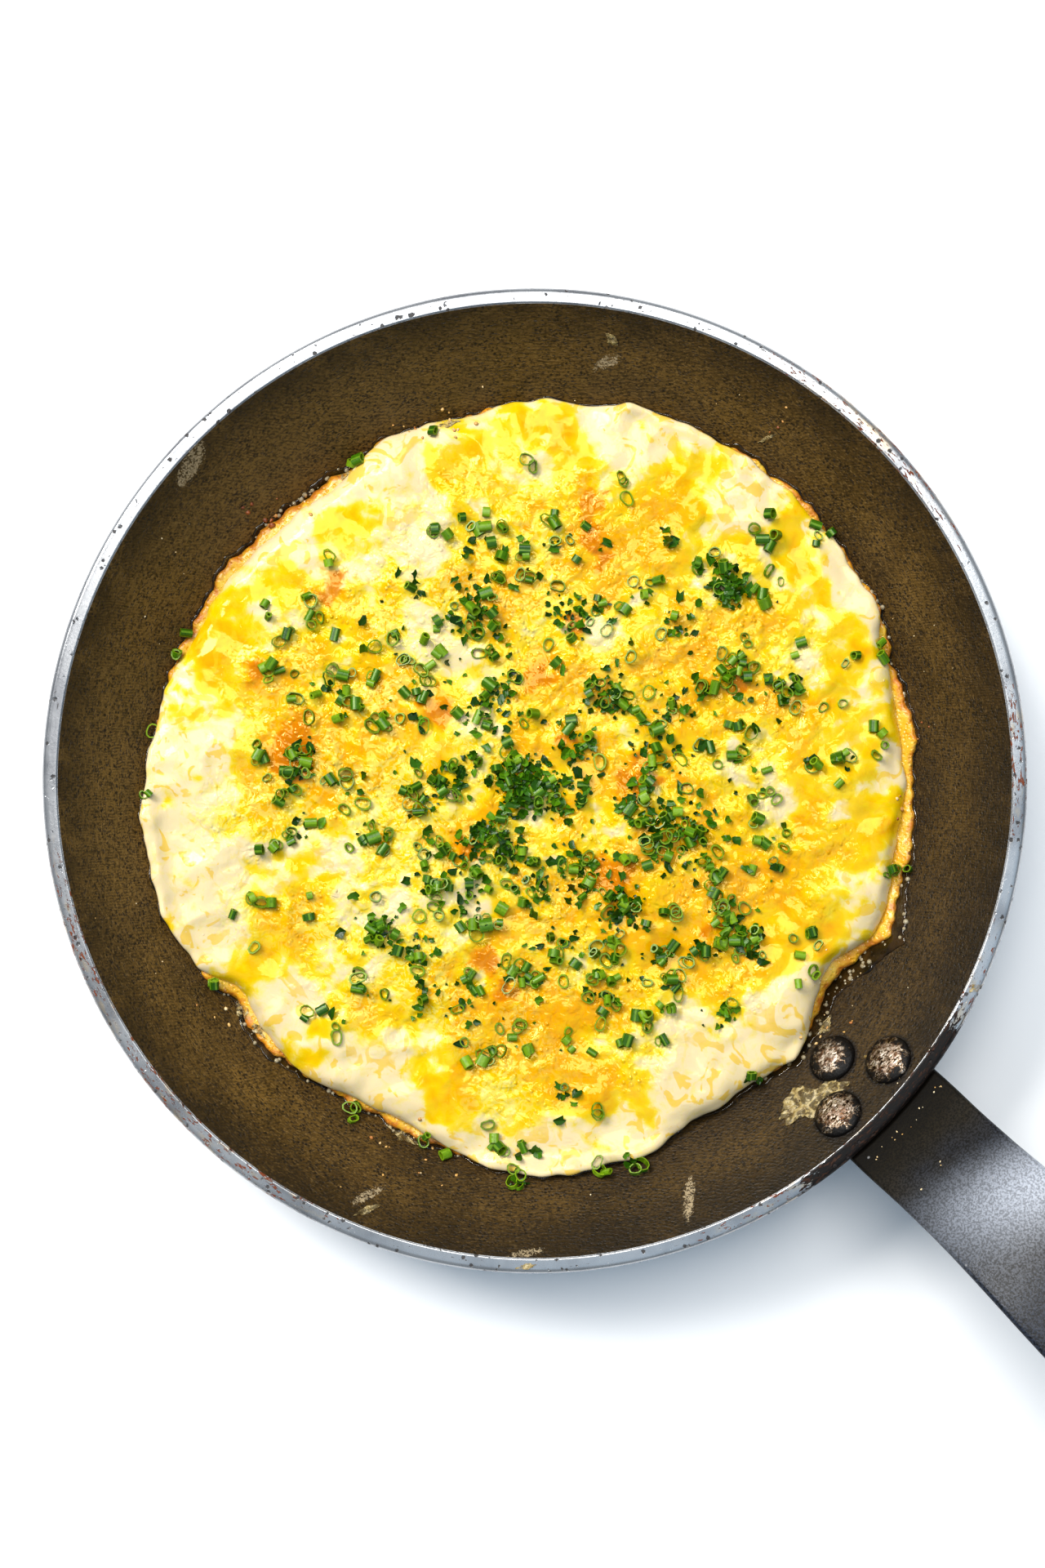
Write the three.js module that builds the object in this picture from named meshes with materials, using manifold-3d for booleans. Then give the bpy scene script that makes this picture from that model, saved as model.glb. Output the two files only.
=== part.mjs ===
// An open omelette under a glazed cheese sauce, in the riveted frying pan that it was cooked in.
// Millimetres, +Z up. The origin is the centre of the pan's flat underside, and the handle points along +X.
import * as THREE from "three";
import { mergeVertices } from "three/addons/utils/BufferGeometryUtils.js";
import Module from "manifold-3d";

const solids = await Module();
solids.setup();

const DEG = Math.PI / 180;

// Pan: a spun dish with a flat floor, a bend and a straight flared wall.
const RIM_INNER_RADIUS = 116.3;
const PAN_HEIGHT = 38;
const FLOOR_THICKNESS = 4.5;
const WALL_THICKNESS = 4;
const WALL_ANGLE = 50 * DEG; // from the horizontal
const INNER_BEND_RADIUS = 20;
const OUTER_BEND_RADIUS = 22;
const RIM_ROUNDING = 1.4;
const PAN_SEGMENTS = 64;
const BEND_STEPS = 5;

// Rivets: one low on the wall and two near the rim, square to the wall.
const LOW_RIVET_RADIUS = 102.3; // distance from the pan's axis
const HIGH_RIVET_RADIUS = 111;
const HIGH_RIVET_SIDE = 9.1; // sideways from the handle's centre line
const RIVET_HEAD_RADIUS = 6.2;
const RIVET_HEAD_HEIGHT = 2.3;
const RIVET_SHANK_RADIUS = 3;
const RIVET_TAIL_RADIUS = 5;
const RIVET_TAIL_HEIGHT = 1.8;
const RIVET_BRIM = 0.3; // straight edge under each head's dome
const RIVET_SEGMENTS = 16;

// Handle: a steel strip that lies on the wall outside, then bends down to a flatter grip.
const STRIP_THICKNESS = 2.8;
const PLATE_LENGTH = 33; // down the wall from the rim's height
const STRIP_LENGTH = 190; // past the rim
const BEND_START = 6;
const BEND_LENGTH = 88;
const GRIP_ANGLE = 13 * DEG;
const PLATE_HALF_WIDTH = 15.1;
const NECK_HALF_WIDTH = 14.7;
const GRIP_HALF_WIDTH = 17.6;
const END_HALF_WIDTH = 1.8; // of the flat at each round end
const NECK_START = 18; // past the rim, where the plate has become the neck
const WIDENING_START = 24;
const WIDENING_LENGTH = 60;
const HUG_START = 4; // up to here the strip curves round the wall
const HUG_FADE = 40;
const HANG_SLOT_RADIUS = 4.5;
const HANG_SLOT_LENGTH = 24;
const HANG_SLOT_FROM_END = 10;

// Food: an egg layer that fills the pan's floor and climbs the bend, and the sauce over it.
const EGG_TOP = 13.6; // height of the egg's flat middle
const EGG_EDGE_THICKNESS = 2.8; // above the pan's inside, where the egg climbs the wall
const EGG_EDGE_ROUND = 3.4;
const EGG_WAVE = 0.5;
const EGG_WAVE_LENGTHS = [107, 88];
const SAUCE_THICKNESS = 4;
const SAUCE_EDGE_THICKNESS = 5.8;
const SAUCE_EDGE_ROUND = 6.5;
const SAUCE_SPILL = 1.4; // how far the sauce runs past the egg
const CLIMB_BLEND = 2; // softness of the turn from the flat middle to the climbing edge
const SHOULDER_DROP = 0.62; // of the edge's round, so that the edge ends in a low step
const MEAN_RADIUS = 96;
const FOOD_RINGS = [0.2, 0.4, 0.58, 0.74, 0.86, 0.93, 0.965, 0.988, 1];
const FOOD_SEGMENTS = PAN_SEGMENTS;

const GAP = 0.35; // between pieces that touch

// Each bulge is [direction in degrees from the handle, half spread in degrees, millimetres outwards].
const OUTLINE_BULGES = [
  [93, 30, 1.7],
  [61, 4, -1.8],
  [124, 4, -1.6],
  [161, 20, -3.9],
  [157, 3.5, 2.0],
  [238, 13, 2.0],
  [259, 3, -2.2],
  [284, 9, -2.2],
  [315, 10, 3.6],
  [337, 3.5, -2.2],
  [347, 4, -2.6],
  [9, 6, -4.2],
  [20, 3.5, 2.0],
];

// Where the egg shows past the sauce, [direction, half spread, millimetres uncovered].
const BARE_EGG = [
  [92, 12, 2.2],
  [182, 20, 4.2],
  [262, 7, 4.4],
  [293, 9, 3.8],
  [40, 22, 4.6],
  [8, 7, 3.0],
];

// Lumps of filling that lift the sauce, [direction, distance from the middle, spread, height].
const LUMPS = [
  [221, 84, 11, 1.5],
  [192, 76, 10, 1.1],
  [171, 62, 9, 0.9],
  [150, 78, 10, 1.2],
  [118, 82, 11, 1.0],
  [88, 80, 12, 1.2],
  [66, 66, 10, 0.9],
  [44, 80, 9, 1.1],
  [12, 74, 10, 1.6],
  [349, 70, 12, 1.5],
  [322, 84, 13, 1.3],
  [296, 78, 10, 1.0],
  [262, 70, 12, 1.1],
  [240, 44, 12, 0.8],
  [130, 40, 13, 0.9],
  [20, 36, 11, 0.8],
  [300, 34, 12, 0.9],
];

const wallTangent = new THREE.Vector2(Math.cos(WALL_ANGLE), Math.sin(WALL_ANGLE));
const wallOutwards = new THREE.Vector2(Math.sin(WALL_ANGLE), -Math.cos(WALL_ANGLE));
const rimInside = new THREE.Vector2(RIM_INNER_RADIUS, PAN_HEIGHT);
const rimOutside = new THREE.Vector2(RIM_INNER_RADIUS + WALL_THICKNESS / Math.sin(WALL_ANGLE), PAN_HEIGHT);

const smooth = (t) => {
  const c = Math.min(1, Math.max(0, t));
  return c * c * (3 - 2 * c);
};

// The centre of a bend that touches a floor at floorZ and the wall's line through the point onWall.
function bendCentre(onWall, floorZ, radius) {
  const z = floorZ + radius;
  const across = (Math.cos(WALL_ANGLE) * (z - onWall.y) - radius) / Math.sin(WALL_ANGLE);
  return new THREE.Vector2(onWall.x + across, z);
}

// Points of a bend from the floor up to the wall, or down it.
function bendPoints(onWall, floorZ, radius) {
  const centre = bendCentre(onWall, floorZ, radius);
  const points = [];
  for (let i = 0; i <= BEND_STEPS; i++) {
    const a = (i / BEND_STEPS) * WALL_ANGLE;
    points.push(new THREE.Vector2(centre.x + radius * Math.sin(a), centre.y - radius * Math.cos(a)));
  }
  return points;
}

function solidOf(geometry) {
  const bare = geometry.clone();
  bare.deleteAttribute("normal");
  bare.deleteAttribute("uv");
  const merged = mergeVertices(bare, 1e-3);
  return new solids.Manifold(
    new solids.Mesh({
      numProp: 3,
      vertProperties: merged.attributes.position.array,
      triVerts: new Uint32Array(merged.index.array),
    }),
  );
}

function geometryOf(solid) {
  const mesh = solid.getMesh();
  const geometry = new THREE.BufferGeometry();
  geometry.setAttribute("position", new THREE.BufferAttribute(mesh.vertProperties, 3));
  geometry.setIndex(new THREE.BufferAttribute(mesh.triVerts, 1));
  geometry.computeVertexNormals();
  return geometry;
}

function turned(profile, segments) {
  const geometry = new THREE.LatheGeometry(profile, segments);
  geometry.rotateX(Math.PI / 2);
  return geometry;
}

// Pan body.
// The rim is cut level, and its sharp outer edge is rounded from the wall's line up to the cut.
function panProfile() {
  const x = rimOutside.x - (RIM_ROUNDING * (1 + Math.cos(WALL_ANGLE))) / Math.sin(WALL_ANGLE);
  const rounded = [WALL_ANGLE - 90 * DEG, -10 * DEG, 20 * DEG, 55 * DEG, 90 * DEG].map(
    (a) => new THREE.Vector2(x + RIM_ROUNDING * Math.cos(a), PAN_HEIGHT + RIM_ROUNDING * (Math.sin(a) - 1)),
  );
  return [
    new THREE.Vector2(0, 0),
    ...bendPoints(rimOutside, 0, OUTER_BEND_RADIUS),
    ...rounded,
    rimInside,
    ...bendPoints(rimInside, FLOOR_THICKNESS, INNER_BEND_RADIUS).reverse(),
    new THREE.Vector2(0, FLOOR_THICKNESS),
  ];
}

// The pan's inside, drawn in by the gap, as a plug that the food is cut to.
function cavitySolid() {
  const onWall = rimInside.clone().addScaledVector(wallOutwards, -GAP);
  const above = onWall.clone().addScaledVector(wallTangent, 10);
  const profile = [
    new THREE.Vector2(0, FLOOR_THICKNESS + GAP),
    ...bendPoints(onWall, FLOOR_THICKNESS + GAP, INNER_BEND_RADIUS - GAP),
    above,
    new THREE.Vector2(0, above.y),
  ];
  return solidOf(turned(profile, PAN_SEGMENTS));
}

// A rivet, with its own +Z along the wall's inward normal and its origin on the wall's inner face.
function rivetProfile() {
  const through = WALL_THICKNESS + STRIP_THICKNESS + 2 * GAP;
  const points = [];
  const tailSteps = 3;
  for (let i = 0; i <= tailSteps; i++) {
    const a = (i / tailSteps) * 90 * DEG;
    const drop = RIVET_BRIM + (RIVET_TAIL_HEIGHT - RIVET_BRIM) * Math.cos(a);
    points.push(new THREE.Vector2(RIVET_TAIL_RADIUS * Math.sin(a), -through - drop));
  }
  points.push(new THREE.Vector2(RIVET_TAIL_RADIUS, -through));
  points.push(new THREE.Vector2(RIVET_SHANK_RADIUS, -through));
  points.push(new THREE.Vector2(RIVET_SHANK_RADIUS, GAP));
  points.push(new THREE.Vector2(RIVET_HEAD_RADIUS, GAP));
  const headSteps = 5;
  for (let i = 0; i <= headSteps; i++) {
    const a = (i / headSteps) * 90 * DEG;
    const rise = RIVET_BRIM + (RIVET_HEAD_HEIGHT - RIVET_BRIM) * Math.sin(a);
    points.push(new THREE.Vector2(RIVET_HEAD_RADIUS * Math.cos(a), GAP + rise));
  }
  points[0].x = 0;
  points[points.length - 1].x = 0;
  return points;
}

// Each rivet's place: a group turned round the pan, with the rivet leaning in it.
const rivetPlaces = [
  { name: "rivet_low", radius: LOW_RIVET_RADIUS, side: 0 },
  { name: "rivet_high_left", radius: HIGH_RIVET_RADIUS, side: HIGH_RIVET_SIDE },
  { name: "rivet_high_right", radius: HIGH_RIVET_RADIUS, side: -HIGH_RIVET_SIDE },
];

function placeOnWall(object, place) {
  const down = (RIM_INNER_RADIUS - place.radius) * Math.tan(WALL_ANGLE);
  object.position.set(place.radius, 0, PAN_HEIGHT - down);
  object.rotation.set(0, -WALL_ANGLE, 0);
  const turn = new THREE.Group();
  turn.rotation.z = Math.asin(place.side / place.radius);
  turn.add(object);
  turn.updateMatrixWorld(true);
  return turn;
}

function rivetHoles() {
  return rivetPlaces.map((place) => {
    const length = 40;
    const drill = new THREE.CylinderGeometry(
      RIVET_SHANK_RADIUS + GAP,
      RIVET_SHANK_RADIUS + GAP,
      length,
      RIVET_SEGMENTS,
    );
    drill.rotateX(Math.PI / 2);
    const holder = new THREE.Mesh(drill);
    placeOnWall(holder, place);
    return solidOf(drill.applyMatrix4(holder.matrixWorld));
  });
}

// Handle strip. The route of its upper face, from the plate's foot to the grip's end.
function stripAngle(s) {
  return WALL_ANGLE + (GRIP_ANGLE - WALL_ANGLE) * smooth((s - BEND_START) / BEND_LENGTH);
}

function stripRoute(stations) {
  const start = rimOutside.clone().addScaledVector(wallOutwards, GAP);
  const step = 0.5;
  return stations.map((s) => {
    if (s <= 0) return start.clone().addScaledVector(wallTangent, s);
    const count = Math.ceil(s / step);
    const at = start.clone();
    for (let i = 0; i < count; i++) {
      const a = stripAngle(((i + 0.5) * s) / count);
      at.x += (Math.cos(a) * s) / count;
      at.y += (Math.sin(a) * s) / count;
    }
    return at;
  });
}

// Half the strip's width: a round foot, a waist past the rim, and a wider grip with a round end.
function stripHalfWidth(s) {
  const neck = PLATE_HALF_WIDTH + (NECK_HALF_WIDTH - PLATE_HALF_WIDTH) * smooth(s / NECK_START);
  const body = neck + (GRIP_HALF_WIDTH - NECK_HALF_WIDTH) * smooth((s - WIDENING_START) / WIDENING_LENGTH);
  const fromFoot = Math.min(1, (s + PLATE_LENGTH) / PLATE_HALF_WIDTH);
  const fromEnd = Math.min(1, (STRIP_LENGTH - s) / GRIP_HALF_WIDTH);
  const roundFoot = Math.sqrt(1 - (1 - fromFoot) ** 2);
  const roundEnd = Math.sqrt(1 - (1 - fromEnd) ** 2);
  return Math.max(END_HALF_WIDTH, body * roundFoot * roundEnd);
}

function stripStations() {
  const stations = [];
  const roundSteps = 5;
  for (let i = 0; i < roundSteps; i++) {
    stations.push(-PLATE_LENGTH + PLATE_HALF_WIDTH * (1 - Math.cos((i / roundSteps) * 90 * DEG)));
  }
  const straightSteps = 22;
  const from = -PLATE_LENGTH + PLATE_HALF_WIDTH;
  const to = STRIP_LENGTH - GRIP_HALF_WIDTH;
  for (let i = 0; i <= straightSteps; i++) stations.push(from + ((to - from) * i) / straightSteps);
  for (let i = 1; i <= roundSteps; i++) {
    stations.push(to + GRIP_HALF_WIDTH * Math.sin((i / roundSteps) * 90 * DEG));
  }
  return stations;
}

// The strip hugs the round wall while it lies on it, and flattens once it is past the rim.
function stripGeometry() {
  const acrossSteps = 6;
  const stations = stripStations();
  const route = stripRoute(stations);
  const vertices = [];
  const indices = [];
  const ring = 2 * (acrossSteps + 1);
  stations.forEach((s, i) => {
    const a = stripAngle(s);
    const half = stripHalfWidth(s);
    const hug = 1 - smooth((s - HUG_START) / HUG_FADE);
    for (const face of [0, 1]) {
      for (let j = 0; j <= acrossSteps; j++) {
        const side = face ? 1 - (2 * j) / acrossSteps : (2 * j) / acrossSteps - 1;
        const y = side * half;
        const x = route[i].x + face * STRIP_THICKNESS * Math.sin(a);
        const z = route[i].y - face * STRIP_THICKNESS * Math.cos(a);
        const bow = (x - Math.sqrt(x * x - y * y)) * hug;
        vertices.push(x - bow, y, z);
      }
    }
  });
  for (let i = 0; i + 1 < stations.length; i++) {
    for (let j = 0; j < ring; j++) {
      const a = i * ring + j;
      const b = i * ring + ((j + 1) % ring);
      indices.push(a, b + ring, b, a, a + ring, b + ring);
    }
  }
  const last = (stations.length - 1) * ring;
  for (let j = 0; j < acrossSteps; j++) {
    const under = ring - 1 - j;
    indices.push(j, j + 1, under - 1, j, under - 1, under);
    indices.push(last + j, last + under - 1, last + j + 1, last + j, last + under, last + under - 1);
  }
  const geometry = new THREE.BufferGeometry();
  geometry.setAttribute("position", new THREE.Float32BufferAttribute(vertices, 3));
  geometry.setIndex(indices);
  return geometry;
}

function hangSlot() {
  const half = HANG_SLOT_LENGTH / 2 - HANG_SLOT_RADIUS;
  const outline = new THREE.Shape();
  outline.absarc(half, 0, HANG_SLOT_RADIUS, -90 * DEG, 90 * DEG, false);
  outline.absarc(-half, 0, HANG_SLOT_RADIUS, 90 * DEG, 270 * DEG, false);
  const depth = 30;
  const slot = new THREE.ExtrudeGeometry(outline, { depth, bevelEnabled: false, curveSegments: 8 });
  slot.translate(0, 0, -depth / 2);
  slot.rotateY(-GRIP_ANGLE);
  const [centre] = stripRoute([STRIP_LENGTH - HANG_SLOT_FROM_END - HANG_SLOT_LENGTH / 2]);
  slot.translate(centre.x, 0, centre.y);
  return solidOf(slot);
}

// Food outlines and heights, by direction and distance from the middle.
function bulgeSum(bulges, degrees) {
  return bulges.reduce((sum, [at, spread, size]) => {
    const away = ((degrees - at + 540) % 360) - 180;
    return sum + size * Math.exp(-0.5 * (away / spread) ** 2);
  }, 0);
}

const eggOutline = (degrees) => MEAN_RADIUS + bulgeSum(OUTLINE_BULGES, degrees);
const sauceOutline = (degrees) => eggOutline(degrees) + SAUCE_SPILL - bulgeSum(BARE_EGG, degrees);

function lumpHeight(x, y) {
  return LUMPS.reduce((sum, [at, distance, spread, height]) => {
    const dx = x - distance * Math.cos(at * DEG);
    const dy = y - distance * Math.sin(at * DEG);
    return sum + height * Math.exp((-0.5 * (dx * dx + dy * dy)) / spread ** 2);
  }, 0);
}

// Height of the pan's inside at distance r from the axis: floor, bend, then wall.
function panInside(r) {
  const centre = bendCentre(rimInside, FLOOR_THICKNESS, INNER_BEND_RADIUS);
  if (r < centre.x) return FLOOR_THICKNESS;
  const along = r - centre.x;
  if (along < INNER_BEND_RADIUS * Math.sin(WALL_ANGLE)) {
    return centre.y - Math.sqrt(INNER_BEND_RADIUS ** 2 - along ** 2);
  }
  return PAN_HEIGHT - (RIM_INNER_RADIUS - r) * Math.tan(WALL_ANGLE);
}

// The larger of two heights, with the turn between them made soft.
const softMax = (a, b) => 0.5 * (a + b + Math.hypot(a - b, CLIMB_BLEND));

// A round shoulder: how far the top has dropped when it is inset from the outline by that much.
function shoulder(inset, round) {
  const t = Math.min(1, Math.max(0, inset / round));
  return round * SHOULDER_DROP * (1 - Math.sqrt(1 - (1 - t) ** 2));
}

function eggTop(x, y, inset) {
  const [waveX, waveY] = EGG_WAVE_LENGTHS.map((length) => (2 * Math.PI) / length);
  const wave = EGG_WAVE * Math.sin(x * waveX) * Math.cos(y * waveY);
  const level = softMax(EGG_TOP, panInside(Math.hypot(x, y)) + EGG_EDGE_THICKNESS);
  return level + wave - shoulder(inset, EGG_EDGE_ROUND);
}

function sauceTop(x, y, inset) {
  const flat = EGG_TOP + SAUCE_THICKNESS;
  const level = softMax(flat, panInside(Math.hypot(x, y)) + SAUCE_EDGE_THICKNESS);
  return level + lumpHeight(x, y) - shoulder(inset, SAUCE_EDGE_ROUND);
}

// A disc with an uneven outline and a top that follows a height function, down to a flat underside.
function blanketSolid(outline, top, grow) {
  const vertices = [0, 0, top(0, 0, MEAN_RADIUS) + grow];
  const indices = [];
  for (const share of FOOD_RINGS) {
    for (let j = 0; j < FOOD_SEGMENTS; j++) {
      const degrees = (j * 360) / FOOD_SEGMENTS;
      const edge = outline(degrees);
      const r = share * (edge + grow);
      const x = r * Math.cos(degrees * DEG);
      const y = r * Math.sin(degrees * DEG);
      vertices.push(x, y, top(x, y, (1 - share) * edge) + grow);
    }
  }
  const n = FOOD_SEGMENTS;
  const rows = FOOD_RINGS.length;
  for (let j = 0; j < n; j++) {
    const next = (j + 1) % n;
    indices.push(0, 1 + j, 1 + next);
    for (let i = 0; i + 1 < rows; i++) {
      const a = 1 + i * n + j;
      const b = 1 + i * n + next;
      indices.push(a, a + n, b + n, a, b + n, b);
    }
  }
  const foot = vertices.length / 3;
  const lastRow = 1 + (rows - 1) * n;
  for (let j = 0; j < n; j++) {
    const at = (lastRow + j) * 3;
    vertices.push(vertices[at], vertices[at + 1], 0);
  }
  const centre = vertices.length / 3;
  vertices.push(0, 0, 0);
  for (let j = 0; j < n; j++) {
    const next = (j + 1) % n;
    indices.push(lastRow + j, foot + j, foot + next, lastRow + j, foot + next, lastRow + next);
    indices.push(centre, foot + next, foot + j);
  }
  const geometry = new THREE.BufferGeometry();
  geometry.setAttribute("position", new THREE.Float32BufferAttribute(vertices, 3));
  geometry.setIndex(indices);
  return solidOf(geometry);
}

const finishes = {
  pan: new THREE.MeshStandardMaterial({ color: 0x4a3820, roughness: 0.5, metalness: 0.3 }),
  strip: new THREE.MeshStandardMaterial({ color: 0x3a3d42, roughness: 0.4, metalness: 0.6 }),
  rivet: new THREE.MeshStandardMaterial({ color: 0x8f7c66, roughness: 0.35, metalness: 0.9 }),
  egg: new THREE.MeshStandardMaterial({ color: 0xe9b84a, roughness: 0.6, metalness: 0 }),
  sauce: new THREE.MeshStandardMaterial({ color: 0xf7dc8a, roughness: 0.3, metalness: 0 }),
};

const part = new THREE.Group();
function add(name, geometry, material) {
  const mesh = new THREE.Mesh(geometry, material);
  mesh.name = name;
  part.add(mesh);
  return mesh;
}

const holes = rivetHoles();
const drilled = (solid) => holes.reduce((left, hole) => left.subtract(hole), solid);

add("pan_body", geometryOf(drilled(solidOf(turned(panProfile(), PAN_SEGMENTS)))), finishes.pan);
add("handle_strip", geometryOf(drilled(solidOf(stripGeometry())).subtract(hangSlot())), finishes.strip);

for (const place of rivetPlaces) {
  const rivet = new THREE.Mesh(turned(rivetProfile(), RIVET_SEGMENTS), finishes.rivet);
  rivet.name = place.name;
  part.add(placeOnWall(rivet, place));
}

const cavity = cavitySolid();
const egg = blanketSolid(eggOutline, eggTop, 0).intersect(cavity);
const eggRoom = blanketSolid(eggOutline, eggTop, GAP);
const sauce = blanketSolid(sauceOutline, sauceTop, 0).intersect(cavity).subtract(eggRoom);
add("egg_base", geometryOf(egg), finishes.egg);
add("cheese_sauce", geometryOf(sauce), finishes.sauce);

export default part;
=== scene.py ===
# An open omelette under a glazed cheese sauce, in the riveted frying pan that it was cooked in.
# Lengths are millimetres in the pan's frame, and become metres when a mesh or a light is made.
# What is worth changing is in the dictionary or list above the functions that use it.
import math
import bpy
import numpy as np
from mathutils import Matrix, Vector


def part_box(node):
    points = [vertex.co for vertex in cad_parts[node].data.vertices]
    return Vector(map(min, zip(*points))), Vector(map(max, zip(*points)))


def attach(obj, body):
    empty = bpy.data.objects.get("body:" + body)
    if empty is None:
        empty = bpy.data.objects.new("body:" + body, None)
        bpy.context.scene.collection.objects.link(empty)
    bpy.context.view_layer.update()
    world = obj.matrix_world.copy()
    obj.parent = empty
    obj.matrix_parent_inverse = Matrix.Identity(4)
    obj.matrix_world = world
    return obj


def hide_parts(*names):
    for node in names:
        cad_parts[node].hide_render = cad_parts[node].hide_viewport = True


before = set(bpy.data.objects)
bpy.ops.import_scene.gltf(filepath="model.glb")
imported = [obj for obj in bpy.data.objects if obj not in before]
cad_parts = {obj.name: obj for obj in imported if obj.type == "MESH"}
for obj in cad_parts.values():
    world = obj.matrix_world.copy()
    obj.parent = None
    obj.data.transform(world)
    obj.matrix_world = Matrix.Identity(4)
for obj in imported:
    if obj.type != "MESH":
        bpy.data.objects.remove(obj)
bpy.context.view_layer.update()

mm = 0.001
degree = math.pi / 180
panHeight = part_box("pan_body")[1].z / mm  # from the table up to the rim


# 3t^2 - 2t^3, with t held between 0 and 1
def smooth(t):
    c = np.clip(t, 0, 1)
    return c * c * (3 - 2 * c)


# (a + b + sqrt((a - b)^2 + w^2)) / 2: the larger of the two, with a soft turn w wide
def softMax(a, b, w):
    return 0.5 * (a + b + np.sqrt((a - b) ** 2 + w * w))


# a random number from 0 to 1 for each lattice point, from its mixed bits
def hashed(ix, iy, seed):
    h = (ix * 374761393 + iy * 668265263 + seed * 974634777) & 0xFFFFFFFF
    h = ((h ^ (h >> 13)) * 1274126177) & 0xFFFFFFFF
    return ((h ^ (h >> 16)) & 0xFFFFFF) / 0xFFFFFF


# gradient noise, from about -0.7 to 0.7: a random slope at each lattice corner, blended with
# 6t^5 - 15t^4 + 10t^3
def noise(x, y, size, seed):
    gx, gy = x / size, y / size
    ix, iy = np.floor(gx).astype(np.int64), np.floor(gy).astype(np.int64)
    fx, fy = gx - ix, gy - iy
    wx = fx**3 * (fx * (fx * 6 - 15) + 10)
    wy = fy**3 * (fy * (fy * 6 - 15) + 10)

    def corner(dx, dy):
        turn = 2 * math.pi * hashed(ix + dx, iy + dy, seed)
        return np.cos(turn) * (fx - dx) + np.sin(turn) * (fy - dy)

    low = corner(0, 0) * (1 - wx) + corner(1, 0) * wx
    high = corner(0, 1) * (1 - wx) + corner(1, 1) * wx
    return low * (1 - wy) + high * wy


# noise at size, size/2, size/4 ... each half as strong as the last
def layered(x, y, size, count, seed):
    return sum(noise(x, y, size / 2**k, seed + k) / 2**k for k in range(count))


# domes on a jittered grid: the largest of sqrt(1 - (d/R)^2), for the share of the cells that hold one; a
# middle lies 0.15 to 0.85 across its cell, and R is 0.18 to 0.6 of the cell
def domes(x, y, cell, share, seed):
    ix, iy = np.floor(x / cell).astype(np.int64), np.floor(y / cell).astype(np.int64)
    best = np.zeros_like(x)
    for dx in (-1, 0, 1):
        for dy in (-1, 0, 1):
            cx, cy = ix + dx, iy + dy
            px = (cx + 0.15 + 0.7 * hashed(cx, cy, seed)) * cell
            py = (cy + 0.15 + 0.7 * hashed(cx, cy, seed + 1)) * cell
            radius = cell * (0.18 + 0.42 * hashed(cx, cy, seed + 2))
            there = hashed(cx, cy, seed + 3) < share
            d = np.hypot(x - px, y - py) / radius
            best = np.maximum(best, np.where(there & (d < 1), np.sqrt(np.clip(1 - d * d, 0, 1)), 0))
    return best


# six times the volume that the faces enclose: the sum of a . (b x c) over their triangles
def volume(points, faces):
    total = 0
    for f in faces:
        a = points[f[:, 0]]
        for k in range(2, f.shape[1]):
            total += np.einsum("ij,ij->", a, np.cross(points[f[:, k - 1]], points[f[:, k]]))
    return total


# A closed mesh from points in millimetres and arrays of quads or triangles, at the origin, riding on the
# pan. Values are numbers for each face, where there are as many as faces, or else for each point. Edges
# sharper than sharp degrees stay sharp.
def makePiece(name, points, faces, surface, replaced=(), values=None, sharp=None):
    if volume(points, faces) < 0:
        faces = [f[:, ::-1] for f in faces]
    mesh = bpy.data.meshes.new(name)
    corners = np.concatenate([f.ravel() for f in faces])
    totals = np.concatenate([np.full(len(f), f.shape[1]) for f in faces])
    starts = np.concatenate([[0], np.cumsum(totals)[:-1]])
    mesh.vertices.add(len(points))
    mesh.vertices.foreach_set("co", (points * mm).ravel())
    mesh.loops.add(len(corners))
    mesh.loops.foreach_set("vertex_index", corners)
    mesh.polygons.add(len(totals))
    mesh.polygons.foreach_set("loop_start", starts)
    mesh.polygons.foreach_set("loop_total", totals)
    mesh.update(calc_edges=True)
    mesh.validate()
    mesh.polygons.foreach_set("use_smooth", np.ones(len(mesh.polygons), bool))
    if sharp:
        mesh.set_sharp_from_angle(angle=sharp * degree)
    for key, numbers in (values or {}).items():
        onFaces = len(numbers) == len(mesh.polygons)
        layer = mesh.attributes.new(key, "FLOAT", "FACE" if onFaces else "POINT")
        layer.data.foreach_set("value", np.asarray(numbers, np.float32).ravel())
    piece = bpy.data.objects.new(name, mesh)
    bpy.context.scene.collection.objects.link(piece)
    mesh.materials.append(surface)
    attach(piece, "root")
    if replaced:
        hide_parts(*replaced)
    print(name, len(points), "points")
    return piece


# quads of a grid of rows by columns, whose columns close on themselves
def wrappedQuads(rows, columns):
    i, j = np.meshgrid(np.arange(rows - 1), np.arange(columns), indexing="ij")
    a = i * columns + j
    b = i * columns + (j + 1) % columns
    return np.stack([a, b, b + columns, a + columns], -1).reshape(-1, 4)


# quads of a grid that closes on itself both ways, as a tube bent into a ring does
def ringQuads(rows, columns):
    i, j = np.meshgrid(np.arange(rows), np.arange(columns), indexing="ij")
    a, b = i * columns + j, i * columns + (j + 1) % columns
    up = (i + 1) % rows
    return np.stack([a, b, up * columns + (j + 1) % columns, up * columns + j], -1).reshape(-1, 4)


# the same faces for each of many copies, whose points follow one another
def repeated(faces, copies, pointsEach):
    shift = np.arange(copies)[:, None, None] * pointsEach
    return (faces[None] + shift).reshape(-1, faces.shape[1])


# triangles from one middle point to a ring of points, turned over if outwards is False
def fan(middle, ring, outwards=True):
    after = np.roll(ring, -1)
    pair = (ring, after) if outwards else (after, ring)
    return np.stack([np.full(len(ring), middle), *pair], -1)


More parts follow.
